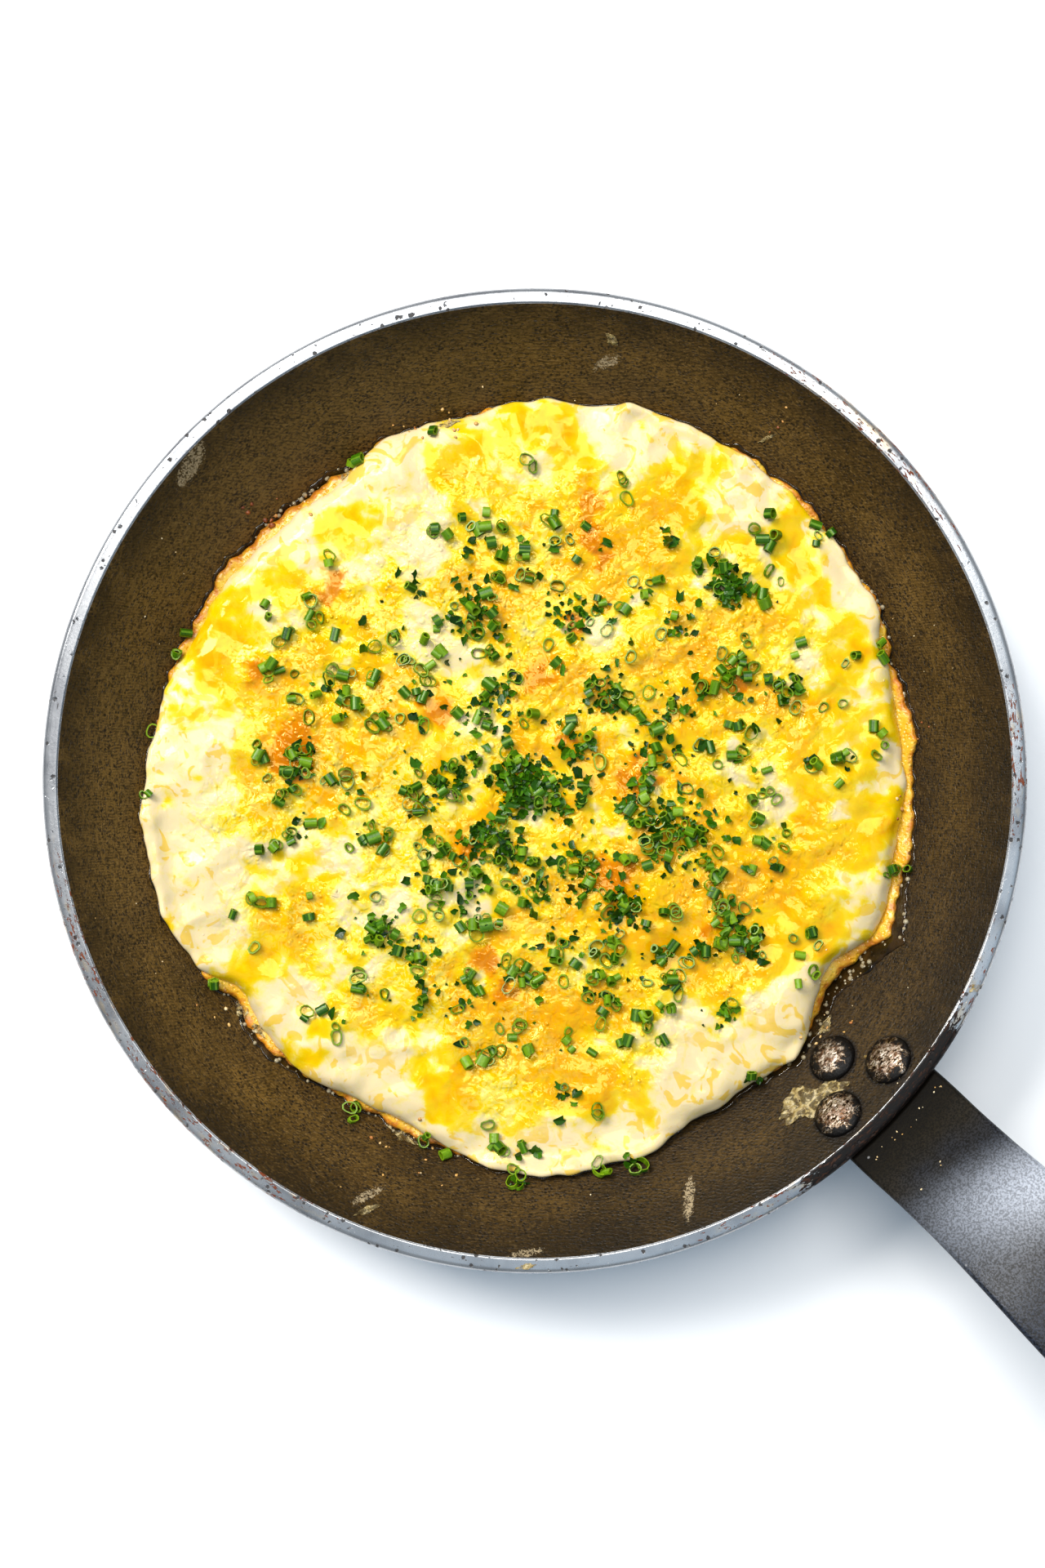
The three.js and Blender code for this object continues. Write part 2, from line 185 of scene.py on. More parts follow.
# A profile of (radius, height) pairs, both ends on the axis, turned about Z.
def turnedMesh(profile, around):
    radius, height = profile[1:-1, 0], profile[1:-1, 1]
    turn = np.arange(around) * 2 * math.pi / around
    x = radius[:, None] * np.cos(turn)
    y = radius[:, None] * np.sin(turn)
    z = np.repeat(height[:, None], around, 1)
    points = np.stack([x, y, z], -1).reshape(-1, 3)
    ends = [[0, 0, profile[0, 1]], [0, 0, profile[-1, 1]]]
    rows = len(radius)
    body = wrappedQuads(rows, around)
    first = fan(rows * around, np.arange(around), False)
    last = fan(rows * around + 1, np.arange((rows - 1) * around, rows * around))
    return np.vstack([points, ends]), [body, first, last]


# an arc of (radius, height) points about a centre, angles in degrees from the outward direction
def arc(centre, radius, start, stop, count):
    a = np.linspace(start, stop, count) * degree
    return np.stack([centre[0] + radius * np.cos(a), centre[1] + radius * np.sin(a)], -1)


# points along a straight line, without its first point
def straight(start, stop, count):
    t = np.linspace(0, 1, count + 1)[1:, None]
    return np.array(start) * (1 - t) + np.array(stop) * t


# sRGB 0-255 to the linear colour that a shader takes
def rgb(*channels):
    return [((c / 255 + 0.055) / 1.055) ** 2.4 if c > 10 else c / 3295 for c in channels] + [1]


# a shader socket that can be used in sums
class Value:
    def __init__(self, look, socket):
        self.look = look
        self.socket = socket

    def maths(self, operation, first, second=0.0):
        return self.look.add("ShaderNodeMath", {"operation": operation}, {0: first, 1: second})

    def __add__(self, other):
        return self.maths("ADD", self, other)

    def __sub__(self, other):
        return self.maths("SUBTRACT", self, other)

    def __rsub__(self, other):
        return self.maths("SUBTRACT", other, self)

    def __mul__(self, other):
        return self.maths("MULTIPLY", self, other)

    __radd__ = __add__
    __rmul__ = __mul__

    def sine(self):
        return self.maths("SINE", self)

    def larger(self, other):
        return self.maths("MAXIMUM", self, other)

    def size(self):
        return self.maths("ABSOLUTE", self)

    # 0 below low, 1 above high, with soft ends
    def step(self, low, high):
        limits = {"Value": self, "From Min": low, "From Max": high}
        return self.look.add("ShaderNodeMapRange", {"interpolation_type": "SMOOTHSTEP"}, limits)


# a material, and the nodes that are added to it; place is the point on the piece, in metres
class Look:
    def __init__(self, name):
        self.material = bpy.data.materials.new(name)
        self.material.use_nodes = True
        self.tree = self.material.node_tree
        self.shader = self.tree.nodes["Principled BSDF"]
        self.place = self.add("ShaderNodeTexCoord", {}, {}, "Object")

    # any node: its type, its settings, then the numbers or links of its sockets
    def add(self, kind, settings, inputs, output=0):
        node = self.tree.nodes.new(kind)
        for key, setting in settings.items():
            if key == "stops":
                self.fillRamp(node.color_ramp, setting)
            else:
                setattr(node, key, setting)
        for key, value in inputs.items():
            self.feed(node.inputs[key], value)
        return Value(self, node.outputs[output])

    def feed(self, socket, value):
        if isinstance(value, Value):
            self.tree.links.new(value.socket, socket)
        else:
            socket.default_value = value

    def fillRamp(self, ramp, stops):
        while len(ramp.elements) < len(stops):
            ramp.elements.new(0.5)
        for element, (position, colour) in zip(ramp.elements, stops):
            element.position = position
            element.color = colour

    # noise on object coordinates, with spots about size millimetres across
    def noise(self, size, detail=2, rough=0.5, warp=0.0, where=None):
        inputs = {"Vector": where or self.place, "Scale": 1 / (size * mm), "Detail": detail}
        inputs.update({"Roughness": rough, "Distortion": warp})
        return self.add("ShaderNodeTexNoise", {}, inputs)

    # distance to the nearest of scattered points, or to the edge of its cell, in parts of their spacing
    def cells(self, size, where=None, feature="F1"):
        inputs = {"Vector": where or self.place, "Scale": 1 / (size * mm), "Randomness": 1.0}
        return self.add("ShaderNodeTexVoronoi", {"feature": feature}, inputs, "Distance")

    def ramp(self, value, *stops):
        return self.add("ShaderNodeValToRGB", {"stops": stops}, {"Fac": value})

    # the first colour where share is 0, the second where it is 1
    def mix(self, share, first, second):
        return self.add("ShaderNodeMix", {"data_type": "RGBA"}, {0: share, 6: first, 7: second}, 2)

    def vector(self, operation, first, second=(0, 0, 0), output=0):
        return self.add("ShaderNodeVectorMath", {"operation": operation}, {0: first, 1: second}, output)

    # how far along a direction the point lies, in millimetres
    def reach(self, *direction):
        return self.vector("DOT_PRODUCT", self.place, tuple(part / mm for part in direction), "Value")

    # values that makePiece put on the mesh
    def stored(self, name):
        return self.add("ShaderNodeAttribute", {"attribute_name": name}, {}, "Fac")

    # a normal from a height in millimetres
    def bump(self, height):
        return self.add("ShaderNodeBump", {}, {"Height": height, "Distance": mm, "Strength": 1.0})

    # feeds the surface's own sockets, whose names are written with _ for a space
    def finish(self, **sockets):
        for key, value in sockets.items():
            self.feed(self.shader.inputs[key.replace("_", " ")], value)
        return self.material


# the strongest of several masks
def strongest(masks):
    best = masks[0]
    for mask in masks[1:]:
        best = best.larger(mask)
    return best


pan = {
    "rimInside": 116.3,
    "wallAngle": 50,  # from the table, in degrees
    "floor": 4.5,
    "wall": 4.0,
    "insideBend": 20,
    "outsideBend": 22,
    "rimRound": 1.4,
    "lipRound": 0.45,
    "around": 320,  # points round the pan
}
wallSin = math.sin(pan["wallAngle"] * degree)
wallCos = math.cos(pan["wallAngle"] * degree)
wallTan = wallSin / wallCos


# centre of the bend that touches the floor at floorZ and the wall through (x, panHeight)
def bendCentre(x, floorZ, radius):
    z = floorZ + radius
    return np.array([x + (wallCos * (z - panHeight) - radius) / wallSin, z])


insideCentre = bendCentre(pan["rimInside"], pan["floor"], pan["insideBend"])
outsideCentre = bendCentre(pan["rimInside"] + pan["wall"] / wallSin, 0, pan["outsideBend"])


# height of the inside: the floor, then c - sqrt(R^2 - (r - rc)^2) over the bend, then the wall's line
def panInside(r):
    along = np.clip(r - insideCentre[0], 0, pan["insideBend"] * wallSin)
    bend = insideCentre[1] - np.sqrt(pan["insideBend"] ** 2 - along**2)
    wall = panHeight - (pan["rimInside"] - r) * wallTan
    return np.where(r > insideCentre[0] + pan["insideBend"] * wallSin, wall, bend)


# Profile: inside floor, bend and wall, the lip, the level rim with its round outer corner, and back
# underneath. Bends are arcs, and straight lines join them.
def panProfile():
    slope = pan["wallAngle"]
    lip = pan["lipRound"]
    lipCentre = (pan["rimInside"] + lip * (1 - wallCos) / wallSin, panHeight - lip)
    corner = pan["rimRound"]
    outside = pan["rimInside"] + pan["wall"] / wallSin
    cornerCentre = (outside - corner * (1 + wallCos) / wallSin, panHeight - corner)
    insideBend = arc(insideCentre, pan["insideBend"], -90, slope - 90, 14)
    outsideBend = arc(outsideCentre, pan["outsideBend"], slope - 90, -90, 14)
    lipArc = arc(lipCentre, lip, slope + 90, 90, 6)
    cornerArc = arc(cornerCentre, corner, 90, slope - 90, 9)
    profile = [
        [(0, pan["floor"])],
        straight((0, pan["floor"]), insideBend[0], 24),
        insideBend[1:],
        straight(insideBend[-1], lipArc[0], 14),
        lipArc[1:],
        straight(lipArc[-1], cornerArc[0], 4),
        cornerArc[1:],
        straight(cornerArc[-1], outsideBend[0], 12),
        outsideBend[1:],
        straight(outsideBend[-1], (0, 0), 10),
    ]
    return np.vstack(profile)


rivet = {
    "lowRadius": 102.3,
    "highRadius": 111,
    "highSide": 9.1,
    "head": 6.2,
    "headHeight": 2.3,
    "brim": 0.3,
    "shank": 3,
    "tail": 5,
    "tailHeight": 1.8,
    "gap": 0.35,
}
stripThickness = 2.8
# CAD node, distance from the pan's axis, distance to the side, and extra char on the head
rivetPlaces = {
    "rivetLow": ("rivet_low", rivet["lowRadius"], 0, 0.18),
    "rivetHighLeft": ("rivet_high_left", rivet["highRadius"], rivet["highSide"], 0),
    "rivetHighRight": ("rivet_high_right", rivet["highRadius"], -rivet["highSide"], 0),
}


# a rivet's middle on the wall's inner face
def rivetMiddle(radius, side):
    turn = math.asin(side / radius)
    return np.array([radius * math.cos(turn), side, panHeight - (pan["rimInside"] - radius) * wallTan])


# 1 near a direction round the pan, 0 at spread degrees from it: from the dot product of directions
def nearDirection(look, heading, direction, spread):
    aim = (math.cos(direction * degree), math.sin(direction * degree), 0)
    return look.vector("DOT_PRODUCT", heading, aim, "Value").step(math.cos(spread * degree), 1)


# (direction from the handle, spread) of the stains on the rim, in degrees
scorched = {"directions": [(0, 34), (46, 12), (88, 20), (268, 26), (243, 16)], "handleSpread": 18}

# (right, up, half length, half width, angle) of the pale scuffs, in the view
scuffs = [(-84, 77, 9, 2.6, 58), (18, 104, 5, 2, 20), (-41, -102, 6, 1.5, 20), (-2, -115, 6, 1.2, 8),
          (38, -103, 7, 2, 80), (-45, 110, 3, 1, 70), (77, 90, 2.5, 1, 30), (-108, 60, 3, 1, 60)]
cameraTurn = 43  # degrees: the view is turned so that the handle points to the lower right


# from millimetres to the right and up in the view to the pan's frame
def onPan(right, up):
    c, s = math.cos(cameraTurn * degree), math.sin(cameraTurn * degree)
    return right * c - up * s, right * s + up * c


# Soot with painted shade round the foot of each head: 1 near each rivet's middle, 0 past 7 to 8 mm from it,
# with a ragged edge.
def sootAndShadeMask(look):
    rings = []
    for _, place, side, _ in rivetPlaces.values():
        middle = tuple(rivetMiddle(place, side) * mm)
        away = look.vector("DISTANCE", look.place, middle, "Value") * (1 / mm)
        rings.append(1 - (away + look.noise(2, 3) * 1.2).step(6.9, 7.9))
    return strongest(rings)


# Scuffs: ellipses a^2 + b^2 < 1, with a and b the shares of the half length and half width.
def scuffMask(look):
    marks = []
    for right, up, length, width, angle in scuffs:
        x, y = onPan(right, up)
        turn = (angle + cameraTurn) * degree
        shift = look.vector("SUBTRACT", look.place, (x * mm, y * mm, 0))
        run = (math.cos(turn) / (length * mm), math.sin(turn) / (length * mm), 0)
        cross = (-math.sin(turn) / (width * mm), math.cos(turn) / (width * mm), 0)
        a = look.vector("DOT_PRODUCT", shift, run, "Value")
        b = look.vector("DOT_PRODUCT", shift, cross, "Value")
        marks.append(1 - (a * a + b * b).step(0.1, 1.0))
    return strongest(marks)


# Coating: brown, with painted shade towards the handle and below the rim and painted light on the side away
# from the handle, a fine ripple sin(2 pi u / 0.7) that wavers straight across the view, dark grains, pits in
# drifts, a warm band on the wall, scuffs, and soot at the rivets with painted shade round their heads. Rim
# and
# outside: bare aluminium with dents and chips, tan and rust-brown stains, black by the handle, and a painted
# darker reflection on the side away from the handle. The stored distance along the profile, in millimetres,
# parts the two.
def panSurface(rimFrom, rimTo):
    look = Look("coatedPan")
    along = look.stored("along")
    flat = look.vector("MULTIPLY", look.place, (1, 1, 0))
    radius = look.vector("LENGTH", flat, output="Value") * (1 / mm)
    heading = look.vector("NORMALIZE", flat)
    toHandle = look.vector("DOT_PRODUCT", heading, (1, 0, 0), "Value")
    bare = along.step(rimFrom - 0.15, rimFrom + 0.1)
    outside = along.step(rimTo - 0.1, rimTo + 0.3)
    lifted = look.add("ShaderNodeCombineXYZ", {}, {"Z": along * 0.0036})
    # a pattern on turned is drawn out along the pan's turning, as lathe marks are
    turned = look.vector("ADD", look.vector("MULTIPLY", heading, (0.112, 0.112, 0)), lifted)

    wander = look.noise(5, 3)
    weave = look.noise(2.6, 3, 0.6, 0.5, turned)
    upward = look.reach(*onPan(0, 1), 0)
    ripple = ((upward + wander * 2.2 + weave * 0.4) * (2 * math.pi / 0.7)).sine()
    waved = ripple.step(-1, 1) * look.noise(3.4, 3, 0.6, 0.0, turned).step(0.36, 0.64)
    grain = look.noise(0.85, 3, 0.7)
    patch = look.noise(26, 4, 0.6)
    drift = look.noise(8, 3, 0.6)
    pit = (1 - look.cells(1.9, turned).step(0.18, 0.32)) * drift.step(0.36, 0.54)
    pitted = pit.larger((1 - look.cells(1.2).step(0.2, 0.38)) * look.noise(5, 2).step(0.38, 0.56) * 0.85)
    paler = look.noise(1.2, 3, 0.7, 0.0, turned).step(0.53, 0.62)
    warm = (1 - ((radius - 104.5) * 0.16).size()).larger(0) * look.noise(16, 3, 0.6).step(0.3, 0.7)
    coating = look.ramp(patch, (0.3, rgb(46, 31, 7)), (0.5, rgb(68, 48, 15)), (0.7, rgb(90, 66, 26)))
    # painted light: the coating paler on the side away from the handle
    coating = look.mix((1 - toHandle.step(-1, 0.3)) * 0.4, coating, rgb(128, 98, 50))
    coating = look.mix(warm * 0.65, coating, rgb(118, 88, 38))
    coating = look.mix(paler * 0.5, coating, rgb(132, 104, 60))
    coating = look.mix(waved * 0.6, coating, rgb(28, 18, 5))
    coating = look.mix(weave.step(0.5, 0.72) * 0.45, coating, rgb(32, 21, 6))
    coating = look.mix(grain.step(0.5, 0.62) * 0.7, coating, rgb(28, 18, 4))
    coating = look.mix(pitted * 0.9, coating, rgb(8, 5, 2))
    shaded = radius.step(107, 116) * (look.noise(9, 2).step(0.35, 0.6) * 0.4 + 0.3)
    coating = look.mix(shaded, coating, rgb(24, 16, 6))
    # painted shade: the coating darker towards the handle
    coating = look.mix(toHandle.step(0, 1.1) * 0.55, coating, rgb(18, 14, 8))
    # soot, with painted shade in the ring round the foot of each rivet head
    coating = look.mix(sootAndShadeMask(look) * 0.9, coating, rgb(14, 9, 5))
    rubbed = scuffMask(look)
    ragged = (look.noise(0.9, 4, 0.75, 1.2) - 0.5) * 3.2
    scratch = (rubbed * 0.8 + ragged).step(0.64, 0.84) * rubbed.step(0, 0.3)
    coating = look.mix(scratch * 0.72, coating, rgb(178, 158, 124))

    dent = 1 - (look.cells(2.2) + (grain - 0.5) * 0.5).step(0.18, 0.26)
    nicks = dent * look.noise(5, 3, 0.6).step(0.47, 0.53)
    metal = look.mix(look.noise(14, 4).step(0.4, 0.7), rgb(176, 177, 179), rgb(142, 143, 146))
    # painted reflection: the rim's metal darker on the side away from the handle
    metal = look.mix((1 - toHandle.step(-1, 0)) * 0.4, metal, rgb(96, 99, 106))
    burnt = strongest([nearDirection(look, heading, *place) for place in scorched["directions"]])
    streak = look.noise(2.6, 4, 0.7, 0.3, turned)
    tan = look.noise(6, 3, 0.6, 0.0, turned).step(0.5, 0.7) * burnt * 0.55
    metal = look.mix(tan, metal, rgb(196, 172, 134))
    crust = (streak + burnt * 0.1).step(0.66, 0.69) * burnt.step(0.05, 0.3)
    metal = look.mix(crust, metal, rgb(112, 52, 24))
    root = nearDirection(look, heading, 0, scorched["handleSpread"]) * 1.5
    root = root * along.step(rimFrom - 0.1, rimFrom + 0.6)
    black = (root + (streak - 0.5) * 2.8).step(0.5, 0.62) * root.step(0, 0.25)
    metal = look.mix(black, metal, look.mix(streak.step(0.5, 0.66), rgb(12, 8, 6), rgb(58, 34, 20)))
    chips = (1 - streak).step(0.655, 0.675)
    metal = look.mix(nicks.larger(chips) * 0.9, metal, rgb(34, 28, 26))
    smear = look.noise(30, 4, 0.6).step(0.5, 0.75)
    metal = look.mix(smear * outside * 0.5, metal, rgb(128, 98, 60))

    dirt = (crust + nicks + chips + black).step(0, 1)
    relief = waved * 0.05 + weave * 0.12 + grain * 0.12 - pitted * 0.1 + scratch * 0.05
    wear = nicks * -0.2 + crust * 0.1 + look.noise(0.7, 2) * 0.015
    metalRough = look.noise(3, 3) * 0.14 + 0.2 + outside * 0.12
    return look.finish(
        Base_Color=look.mix(bare, coating, metal),
        Metallic=bare * (0.75 - dirt * 0.7),
        Roughness=(look.noise(10, 3) * 0.2 + 0.36) * (1 - bare) + (metalRough + dirt * 0.25) * bare,
        Normal=look.bump(relief * (1 - bare) + wear * bare),
        Specular_IOR_Level=0.22,
    )


# The pan's profile turned about its axis. Bare metal starts half a millimetre inside the lip's top.
def buildPan():
    profile = panProfile()
    points, faces = turnedMesh(profile, pan["around"])
    steps = np.hypot(*np.diff(profile, axis=0).T)
    along = np.concatenate([[0], np.cumsum(steps)])
    values = np.concatenate([np.repeat(along[1:-1], pan["around"]), along[[0, -1]]])
    onTop = np.abs(profile[:, 1] - panHeight) < 0.02
    rimFrom, rimTo = along[onTop].min(), along[onTop].max()
    surface = panSurface(rimFrom - 0.5, rimTo + 1.5)
    makePiece("panBody", points, faces, surface, ["pan_body"], {"along": values})


# Rivets: steel that is brushed bright in fine streaks, tinted brown, with burnt fat in ragged blotches
# that close up towards the foot of the head.
def rivetSurface():
    look = Look("wornRivet")
    outer = look.stored("outer")
    brushed = look.vector("MULTIPLY", look.place, (2.2, 0.8, 1))
    blotch = look.noise(2.2, 4, 0.62, 0.8)
    fine = look.noise(1.1, 4, 0.75, 0.6, brushed)
    steel = look.ramp(fine, (0.42, rgb(26, 16, 10)), (0.49, rgb(140, 118, 94)), (0.58, rgb(222, 212, 200)))
    tint = (blotch + (fine - 0.5) * 0.8).step(0.46, 0.6)
    colour = look.mix(tint * 0.75, steel, rgb(96, 54, 22))
    char = (outer * 1.15 + (blotch - 0.5) * 2.2 + (fine - 0.5) * 2.0).step(0.88, 1.02)
    colour = look.mix(char, colour, rgb(6, 4, 3))
    return look.finish(
        Base_Color=colour,
        Metallic=1 - char,
        Roughness=fine * 0.2 + 0.24 + char * 0.15,
        Normal=look.bump(fine * 0.2 + blotch * 0.3),
        Specular_IOR_Level=0.2,
    )


# Dome head inside, shank through wall and strip, low dome tail outside: a profile turned about its axis,
# whose axes are then uphill on the wall, across it, and its inward normal.
def buildRivets():
    surface = rivetSurface()
    through = pan["wall"] + stripThickness + 2 * rivet["gap"]
    rise = rivet["headHeight"] - rivet["brim"]
    drop = rivet["tailHeight"] - rivet["brim"]
    up = np.linspace(90, 0, 12) * degree
    head = np.stack([rivet["head"] * np.cos(up), rivet["gap"] + rivet["brim"] + rise * np.sin(up)], -1)
    down = np.linspace(0, 90, 8) * degree
    tail = np.stack([rivet["tail"] * np.cos(down), -through - rivet["brim"] - drop * np.sin(down)], -1)
    middle = [
        (rivet["head"], rivet["gap"]),
        (rivet["shank"], rivet["gap"]),
        (rivet["shank"], -through),
        (rivet["tail"], -through),
    ]
    profile = np.vstack([head, middle, tail])
    profile[[0, -1], 0] = 0
    for name, (node, radius, side, extraChar) in rivetPlaces.items():
        points, faces = turnedMesh(profile, 40)
        outer = np.hypot(points[:, 0], points[:, 1]) / rivet["head"] + extraChar
        turn = math.asin(side / radius)
        outward = np.array([math.cos(turn), math.sin(turn), 0])
        across = np.array([-math.sin(turn), math.cos(turn), 0])
        normal = -outward * wallSin + np.array([0, 0, wallCos])
        uphill = outward * wallCos + np.array([0, 0, wallSin])
        placed = rivetMiddle(radius, side) + points @ np.stack([uphill, across, normal])
        makePiece(name, placed, faces, surface, [node], {"outer": outer}, sharp=50)


# distances run along the strip, from where it leaves the rim
handle = {
    "plate": 33,  # how far the foot plate goes down the wall
    "length": 190,
    "bendStart": 6,
    "bendLength": 88,
    "gripAngle": 13,  # above level, in degrees
    "plateHalf": 15.1,
    "neckHalf": 14.7,
    "gripHalf": 17.6,
    "endHalf": 1.8,
    "neckStart": 18,
    "wideningStart": 24,
    "wideningLength": 60,
    "hugStart": 4,  # where the strip starts to flatten from the pan's round
    "hugFade": 40,
    "edgeRound": 1.15,
    "slotRadius": 4.5,
    "slotLength": 24,
    "slotFromEnd": 10,
    "highlightAt": 145,  # the painted highlight on the bend, from the pan's axis
}


# slope of the strip: the wall's angle, eased down to the grip's
def stripAngle(s):
    ease = smooth((s - handle["bendStart"]) / handle["bendLength"])
    return (pan["wallAngle"] + (handle["gripAngle"] - pan["wallAngle"]) * ease) * degree


# upper face of the strip: the wall's line below the rim, then the sum of (cos, sin) of its slope
def stripRoute(s):
    fine = np.linspace(0, handle["length"], 2000)
    slope = stripAngle(0.5 * (fine[1:] + fine[:-1]))
    pace = fine[1] - fine[0]
    x = np.concatenate([[0], np.cumsum(np.cos(slope) * pace)])
    z = np.concatenate([[0], np.cumsum(np.sin(slope) * pace)])
    startX = pan["rimInside"] + pan["wall"] / wallSin + rivet["gap"] * wallSin
    startZ = panHeight - rivet["gap"] * wallCos
    below = np.minimum(s, 0)
    above = np.maximum(s, 0)
    routeX = startX + below * wallCos + np.interp(above, fine, x)
    routeZ = startZ + below * wallSin + np.interp(above, fine, z)
    return routeX, routeZ


# half the width: a waist, a wider grip, and a round end sqrt(1 - (1 - t)^2) at each end
def stripHalf(s):
    neck = handle["plateHalf"] + (handle["neckHalf"] - handle["plateHalf"]) * smooth(s / handle["neckStart"])
    grow = smooth((s - handle["wideningStart"]) / handle["wideningLength"])
    body = neck + (handle["gripHalf"] - handle["neckHalf"]) * grow
    foot = np.clip((s + handle["plate"]) / handle["plateHalf"], 0, 1)
    end = np.clip((handle["length"] - s) / handle["gripHalf"], 0, 1)
    rounding = np.sqrt(1 - (1 - foot) ** 2) * np.sqrt(1 - (1 - end) ** 2)
    return np.maximum(handle["endHalf"], body * rounding)


# A rectangle with quarter circles for corners: how far to the side and how deep each point of the section
# lies, for each half width. The parts go round from the upper face, each without its first point.
def stripSection(half):
    edge = handle["edgeRound"]
    turn = np.linspace(0, 90, 6)[:, None] * degree
    flat = np.linspace(-1, 1, 15)[:, None]
    inner = np.maximum(half - edge, 0.3)
    sine, cosine = edge * np.sin(turn), edge * np.cos(turn)
    lowEdge = stripThickness - edge
    parts = [
        (flat * inner, 0 * flat),
        (inner + sine, edge - cosine),
        (inner + cosine, lowEdge + sine),
        (-flat * inner, stripThickness + 0 * flat),
        (-inner - sine, lowEdge + cosine),
        (-inner - cosine, edge - sine),
    ]
    side = np.vstack([np.broadcast_to(p[0], (len(p[0]), len(half)))[1:] for p in parts])
    deep = np.vstack([np.broadcast_to(p[1], (len(p[1]), len(half)))[1:] for p in parts])
    return side.T, deep.T


# Baked enamel: near black with a blue cast and pale grains, an orange-peel bump, a painted highlight where it
# bends, with brown cooked-on grease by the pan, near black where it meets the rim, and a few specks of dust.
def stripSurface():
    look = Look("enamelStrip")
    along = look.reach(1, 0, 0)
    side = look.reach(0, 1, 0)
    peel = look.noise(1.3, 3, 0.6, 0.4)
    speck = look.noise(0.5, 2, 0.6, 0.2)
    grain = speck.step(0.38, 0.62)
    enamel = look.mix(grain, rgb(9, 10, 13), rgb(40, 45, 56))
    # painted highlight: a pale patch where the strip bends, stronger towards one side of the strip
    pastBend = along - side * 0.3 - handle["highlightAt"]
    paintedHighlight = (1 - (pastBend * 0.072).size()).step(0, 1) * side.step(-26, 14)
    enamel = look.mix(paintedHighlight * (grain * 0.4 + 0.4), enamel, rgb(184, 190, 202))
    greasy = 1 - (along + look.noise(7, 3) * 12).step(131, 148)
    enamel = look.mix(greasy * 0.9, enamel, look.mix(grain, rgb(10, 7, 2), rgb(34, 27, 11)))
    root = 1 - (along + look.noise(4, 3) * 6).step(123, 134)
    enamel = look.mix(root * 0.85, enamel, rgb(6, 4, 2))
    dust = 1 - look.cells(9).step(0.02, 0.05)
    enamel = look.mix(dust * 0.5, enamel, rgb(150, 150, 150))
    return look.finish(
        Base_Color=enamel,
        Roughness=0.38 - grain * 0.1 + greasy * 0.15,
        Normal=look.bump(peel * 0.05 + speck * 0.04),
        Specular_IOR_Level=0.14,
    )


# The hang slot: two half circles joined by straight sides, cut square through the grip.
def cutSlot(piece):
    half = handle["slotLength"] / 2 - handle["slotRadius"]
    ends = np.concatenate([np.linspace(-90, 90, 17), np.linspace(90, 270, 17)]) * degree
    shift = np.repeat([half, -half], 17)
    x = handle["slotRadius"] * np.cos(ends) + shift
    y = handle["slotRadius"] * np.sin(ends)
    centre = handle["length"] - handle["slotFromEnd"] - handle["slotLength"] / 2
    atX, atZ = stripRoute(np.array([centre]))
    c, s = math.cos(handle["gripAngle"] * degree), math.sin(handle["gripAngle"] * degree)
    rings = [np.stack([atX + x * c - z * s, y, atZ + x * s + z * c], -1) for z in (-15, 15)]
    count = len(x)
    points = np.vstack(rings + [rings[0].mean(0), rings[1].mean(0)])
    faces = [wrappedQuads(2, count), fan(2 * count, np.arange(count), False)]
    faces.append(fan(2 * count + 1, np.arange(count, 2 * count)))
    mesh = bpy.data.meshes.new("slotCutter")
    mesh.from_pydata((points * mm).tolist(), [], [f for group in faces for f in group.tolist()])
    cutter = bpy.data.objects.new("slotCutter", mesh)
    bpy.context.scene.collection.objects.link(cutter)
    cut = piece.modifiers.new("slot", "BOOLEAN")
    cut.object = cutter
    cut.operation = "DIFFERENCE"
    cut.solver = "EXACT"
    bpy.context.view_layer.update()
    result = bpy.data.meshes.new_from_object(piece.evaluated_get(bpy.context.evaluated_depsgraph_get()))
    piece.modifiers.clear()
    piece.data = result
    bpy.data.objects.remove(cutter)
    result.set_sharp_from_angle(angle=35 * degree)


# The section swept along the strip's route, with its depth on the normal of the slope. Near the pan it
# bows by x - sqrt(x^2 - side^2) to hug the round wall. Its stations crowd towards the round ends.
def buildHandle():
    foot = -handle["plate"]
    end = handle["length"]
    ease = 1 - np.cos(np.linspace(0, 90, 14) * degree)
    start = foot + handle["plateHalf"] * ease
    stop = end - handle["gripHalf"] * ease[::-1]
    s = np.concatenate([start, np.linspace(start[-1], stop[0], 120)[1:-1], stop])
    side, deep = stripSection(stripHalf(s))
    slope = stripAngle(s)[:, None]
    atX, atZ = stripRoute(s)
    x = atX[:, None] + deep * np.sin(slope)
    z = atZ[:, None] - deep * np.cos(slope)
    hug = 1 - smooth((s - handle["hugStart"]) / handle["hugFade"])[:, None]
    bow = (x - np.sqrt(x * x - side * side)) * hug
    points = np.stack([x - bow, side, z], -1)
    rows, columns = side.shape
    caps = np.stack([points[0].mean(0), points[-1].mean(0)])
    faces = [wrappedQuads(rows, columns)]
    faces.append(fan(rows * columns, np.arange(columns), False))
    faces.append(fan(rows * columns + 1, np.arange((rows - 1) * columns, rows * columns)))
    every = np.vstack([points.reshape(-1, 3), caps])
    piece = makePiece("handleStrip", every, faces, stripSurface(), ["handle_strip"], sharp=50)
    cutSlot(piece)


food = {
    "radius": 96,
    "eggTop": 13.6,
    "eggAtWall": 2.8,  # above the pan, where the egg climbs the wall
    "eggRound": 3.4,
    "sauce": 4.0,
    "sauceAtWall": 5.8,
    "sauceRound": 6.5,
    "spill": 1.4,  # of the sauce past the egg
    "blend": 2.0,
    "drop": 0.62,  # how deep a round shoulder is, in parts of its width
    "tuck": 0.45,  # how far the underside starts in from the edge
    "gap": 0.06,  # between the food and the pan
    "eggGrid": 170,
    "sauceGrid": 292,
}

